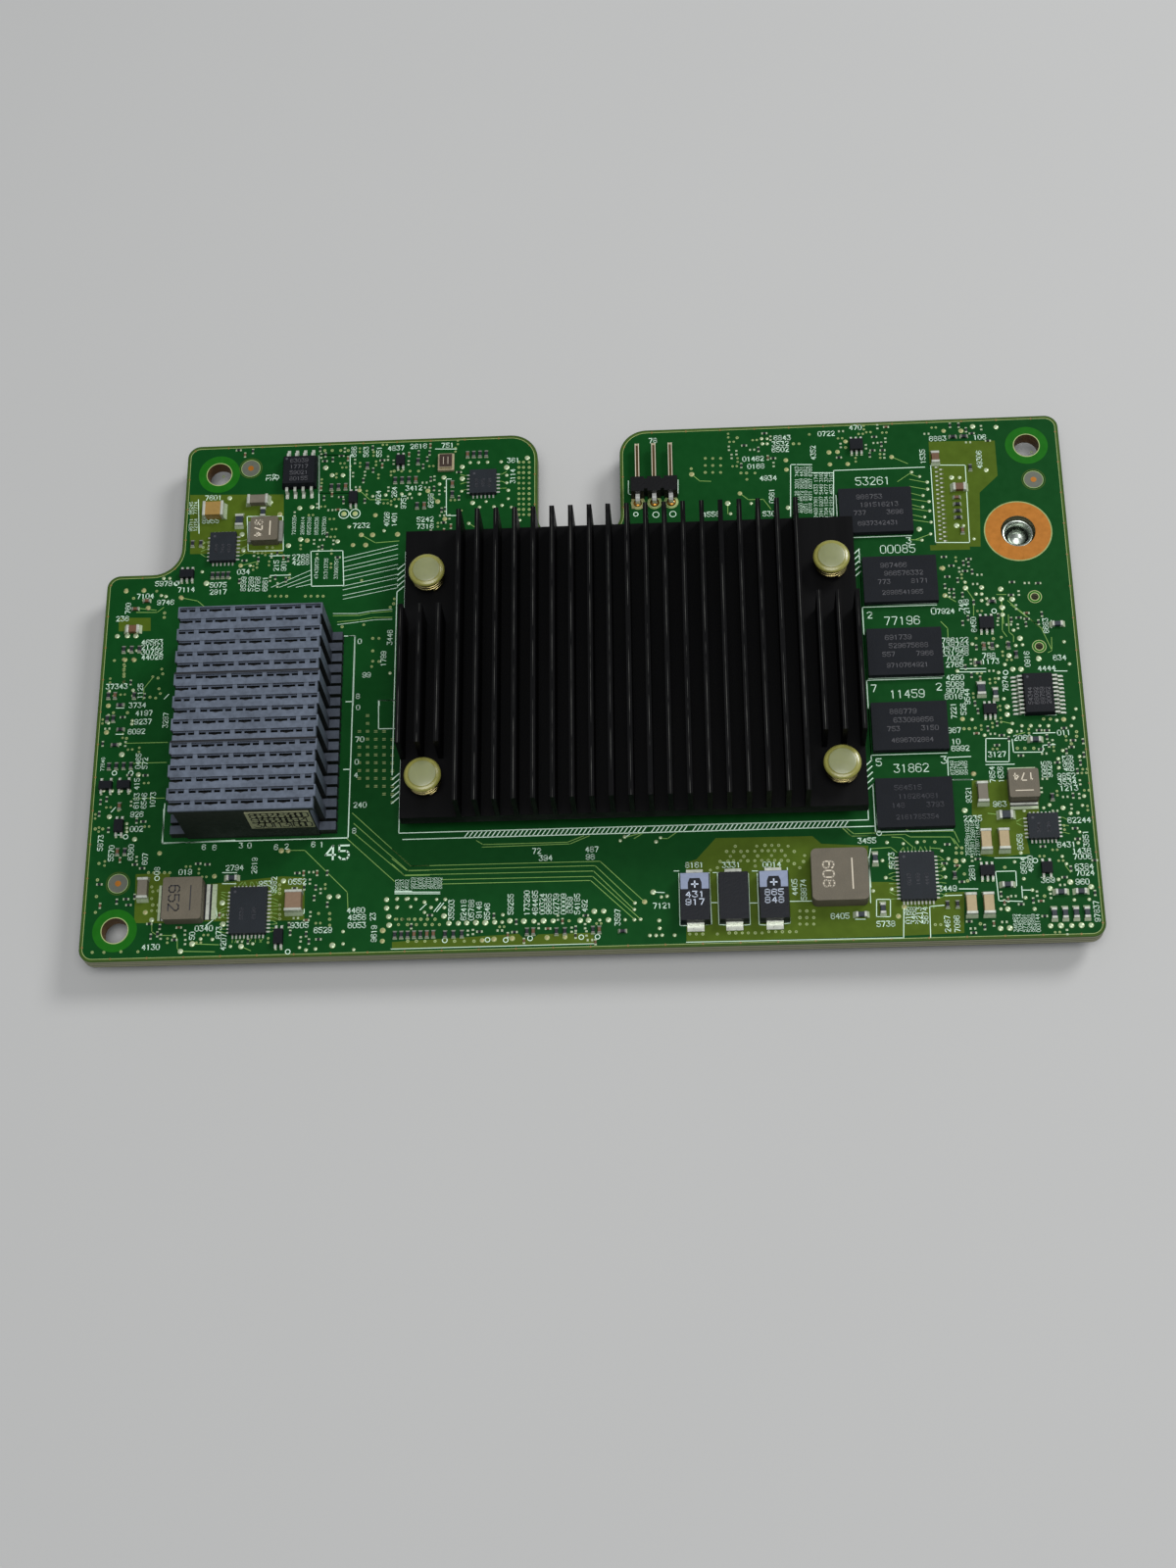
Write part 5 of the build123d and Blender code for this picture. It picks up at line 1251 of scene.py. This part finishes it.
while z < high - 1.0:
    profile += [(1.44, z + 0.08), (1.3, z + 0.25), (1.44, z + THREAD_PITCH)]
    z += THREAD_PITCH
profile += [(1.44, high - 0.62), (1.2, high - 0.3), (0.85, high - 0.22), (0.6, high - 0.05), (0.3, high), (0.0, high)]
screw.lathe(*ring_at, profile)
screw.make("screw_detail", [STEEL], "screw_steel", "captive_screw")

# Underside: solder joints, vias and copper areas, as such boards have
under = Mesh(down=True)
UNDER_POUR, UNDER_VIA, UNDER_PAD, UNDER_MARK = (BOTTOM - depth for depth in (0.012, 0.022, 0.024, 0.026))
under.flat([(-66, -30), (-38, -30), (-38, -12), (-60, -12), (-66, -18)], UNDER_POUR)
under.flat([(20, -38), (62, -38), (62, -26), (20, -26)], UNDER_POUR)
for _ in range(330):
    x, y = rng.uniform(-70, 70), rng.uniform(-40, 40)
    if y <= 20 or (x >= -58 and not -10 < x < 9):
        under.ring(x, y, 0.1, 0.24, UNDER_VIA, 10, 1)
for row in range(16):
    for column in range(12):
        under.disc(-60.5 + column * 2.0, -21.5 + row * 1.8, 0.42, UNDER_PAD, 12, 2)
for row in range(13):
    for column in range(13):
        if not (3 < row < 9 and 3 < column < 9 and (row + column) % 2):
            under.disc(-5 + column * 1.9, -12 + row * 1.9, 0.22, UNDER_PAD, 10, 1)
for x, y in ((-20, 30), (-14, 30), (20, 30), (26, 30), (50, 10), (50, 2), (50, -8), (-30, 30), (-50, 22), (-44, 22),
             (30, -34), (38, -34), (46, -34), (-52, -36), (-20, -34)):
    under.digits(x, y + 2, number(4), 0.9, 0, UNDER_MARK, 3)
    for side in (-0.9, 0.9):
        under.rect(x + side, y, 0.7, 0.9, UNDER_PAD, slot=2)
under.line([(-62, -24), (-34, -24), (-34, 9), (-62, 9), (-62, -24)], 0.15, UNDER_MARK, 3)

ink.make("screened_marks", [SILK], "board")
tinned.make("tinned_pads", [SOLDER, VIA_RIM, TIN, FIDUCIAL], "tinned")
copper.make("bare_copper_marks", [BARE_COPPER, VIA_RIM, LAND_TAN, PALE_RIM, HOLE_WALL, HEADER_SOLDER], "board")
vias.make("vias", [VIA_RIM, VIA_CORE, EDGE_DOT], "board")
tracks.make("tracks", [TRACE_WITH_SHEEN], "board")
pours.make("copper_areas", [POUR, EDGE_STRIP, BRIGHT_LINE, CLEAR_MASK], "board")
marking.make("laser_marks", [MARKING, FAINT_MARKING], "package")
prints.make("printed_marks", [SILVER_BAND, POLYMER, WHITE_INK, CREAM_INK, DARK_INK, INNER_DARK, CAN_BROWN],
            "polymer_case")
under.make("underside_detail", [POUR, VIA_RIM, MATTE_TIN, SILK], "board")

# Floor
FLOOR_HALF, FLOOR_COLOUR = 2.0, rgb(182, 182, 181)
data = bpy.data.meshes.new("floor")
data.from_pydata([(a * FLOOR_HALF, b * FLOOR_HALF, 0.0) for a, b in ((-1, -1), (1, -1), (1, 1), (-1, 1))], [],
                 [[0, 1, 2, 3]])
floor = bpy.data.objects.new("floor", data)
bpy.context.scene.collection.objects.link(floor)
paper = bpy.data.materials.new("floor")
paper.use_nodes = True
g = Graph(paper)
speckle = g.node("TexNoise", {"Scale": 60}).outputs["Fac"]
shadow = tuple(c * 0.97 for c in FLOOR_COLOUR[:3]) + (1,)
g.finish(Roughness=0.85, Base_Color=g.ramp(speckle, shadow, FLOOR_COLOUR))
data.materials.append(paper)

# Light: name, place, size, power. Each looks at the card.
for name, place, size, power in (("overhead", (0.05, -0.20, 0.90), 0.6, 5.0), ("key", (0.55, 0.45, 0.62), 0.35, 4.5)):
    light = bpy.data.lights.new(name, "AREA")
    light.shape = "DISK"
    light.size = size
    light.energy = power
    lamp = bpy.data.objects.new(name, light)
    lamp.location = place
    lamp.rotation_euler = (-Vector(place)).to_track_quat("-Z", "Y").to_euler()
    bpy.context.scene.collection.objects.link(lamp)

world = bpy.data.worlds.new("room")
bpy.context.scene.world = world
world.use_nodes = True
world.node_tree.nodes["Background"].inputs["Color"].default_value = (0.86, 0.9, 0.94, 1)
world.node_tree.nodes["Background"].inputs["Strength"].default_value = 0.28

# Camera: the longer side of the frame lies on the sensor
SENSOR = 36
camera = bpy.data.cameras.new("camera")
camera.sensor_width = SENSOR
camera.lens = FOCAL_PX * SENSOR / FRAME_HEIGHT
camera.clip_start = 0.01
eye = bpy.data.objects.new("camera", camera)
eye.location = CAM_AT * MM
eye.rotation_euler = CAM_TURN
bpy.context.scene.collection.objects.link(eye)
bpy.context.scene.camera = eye
bpy.context.scene.view_settings.view_transform = "Standard"
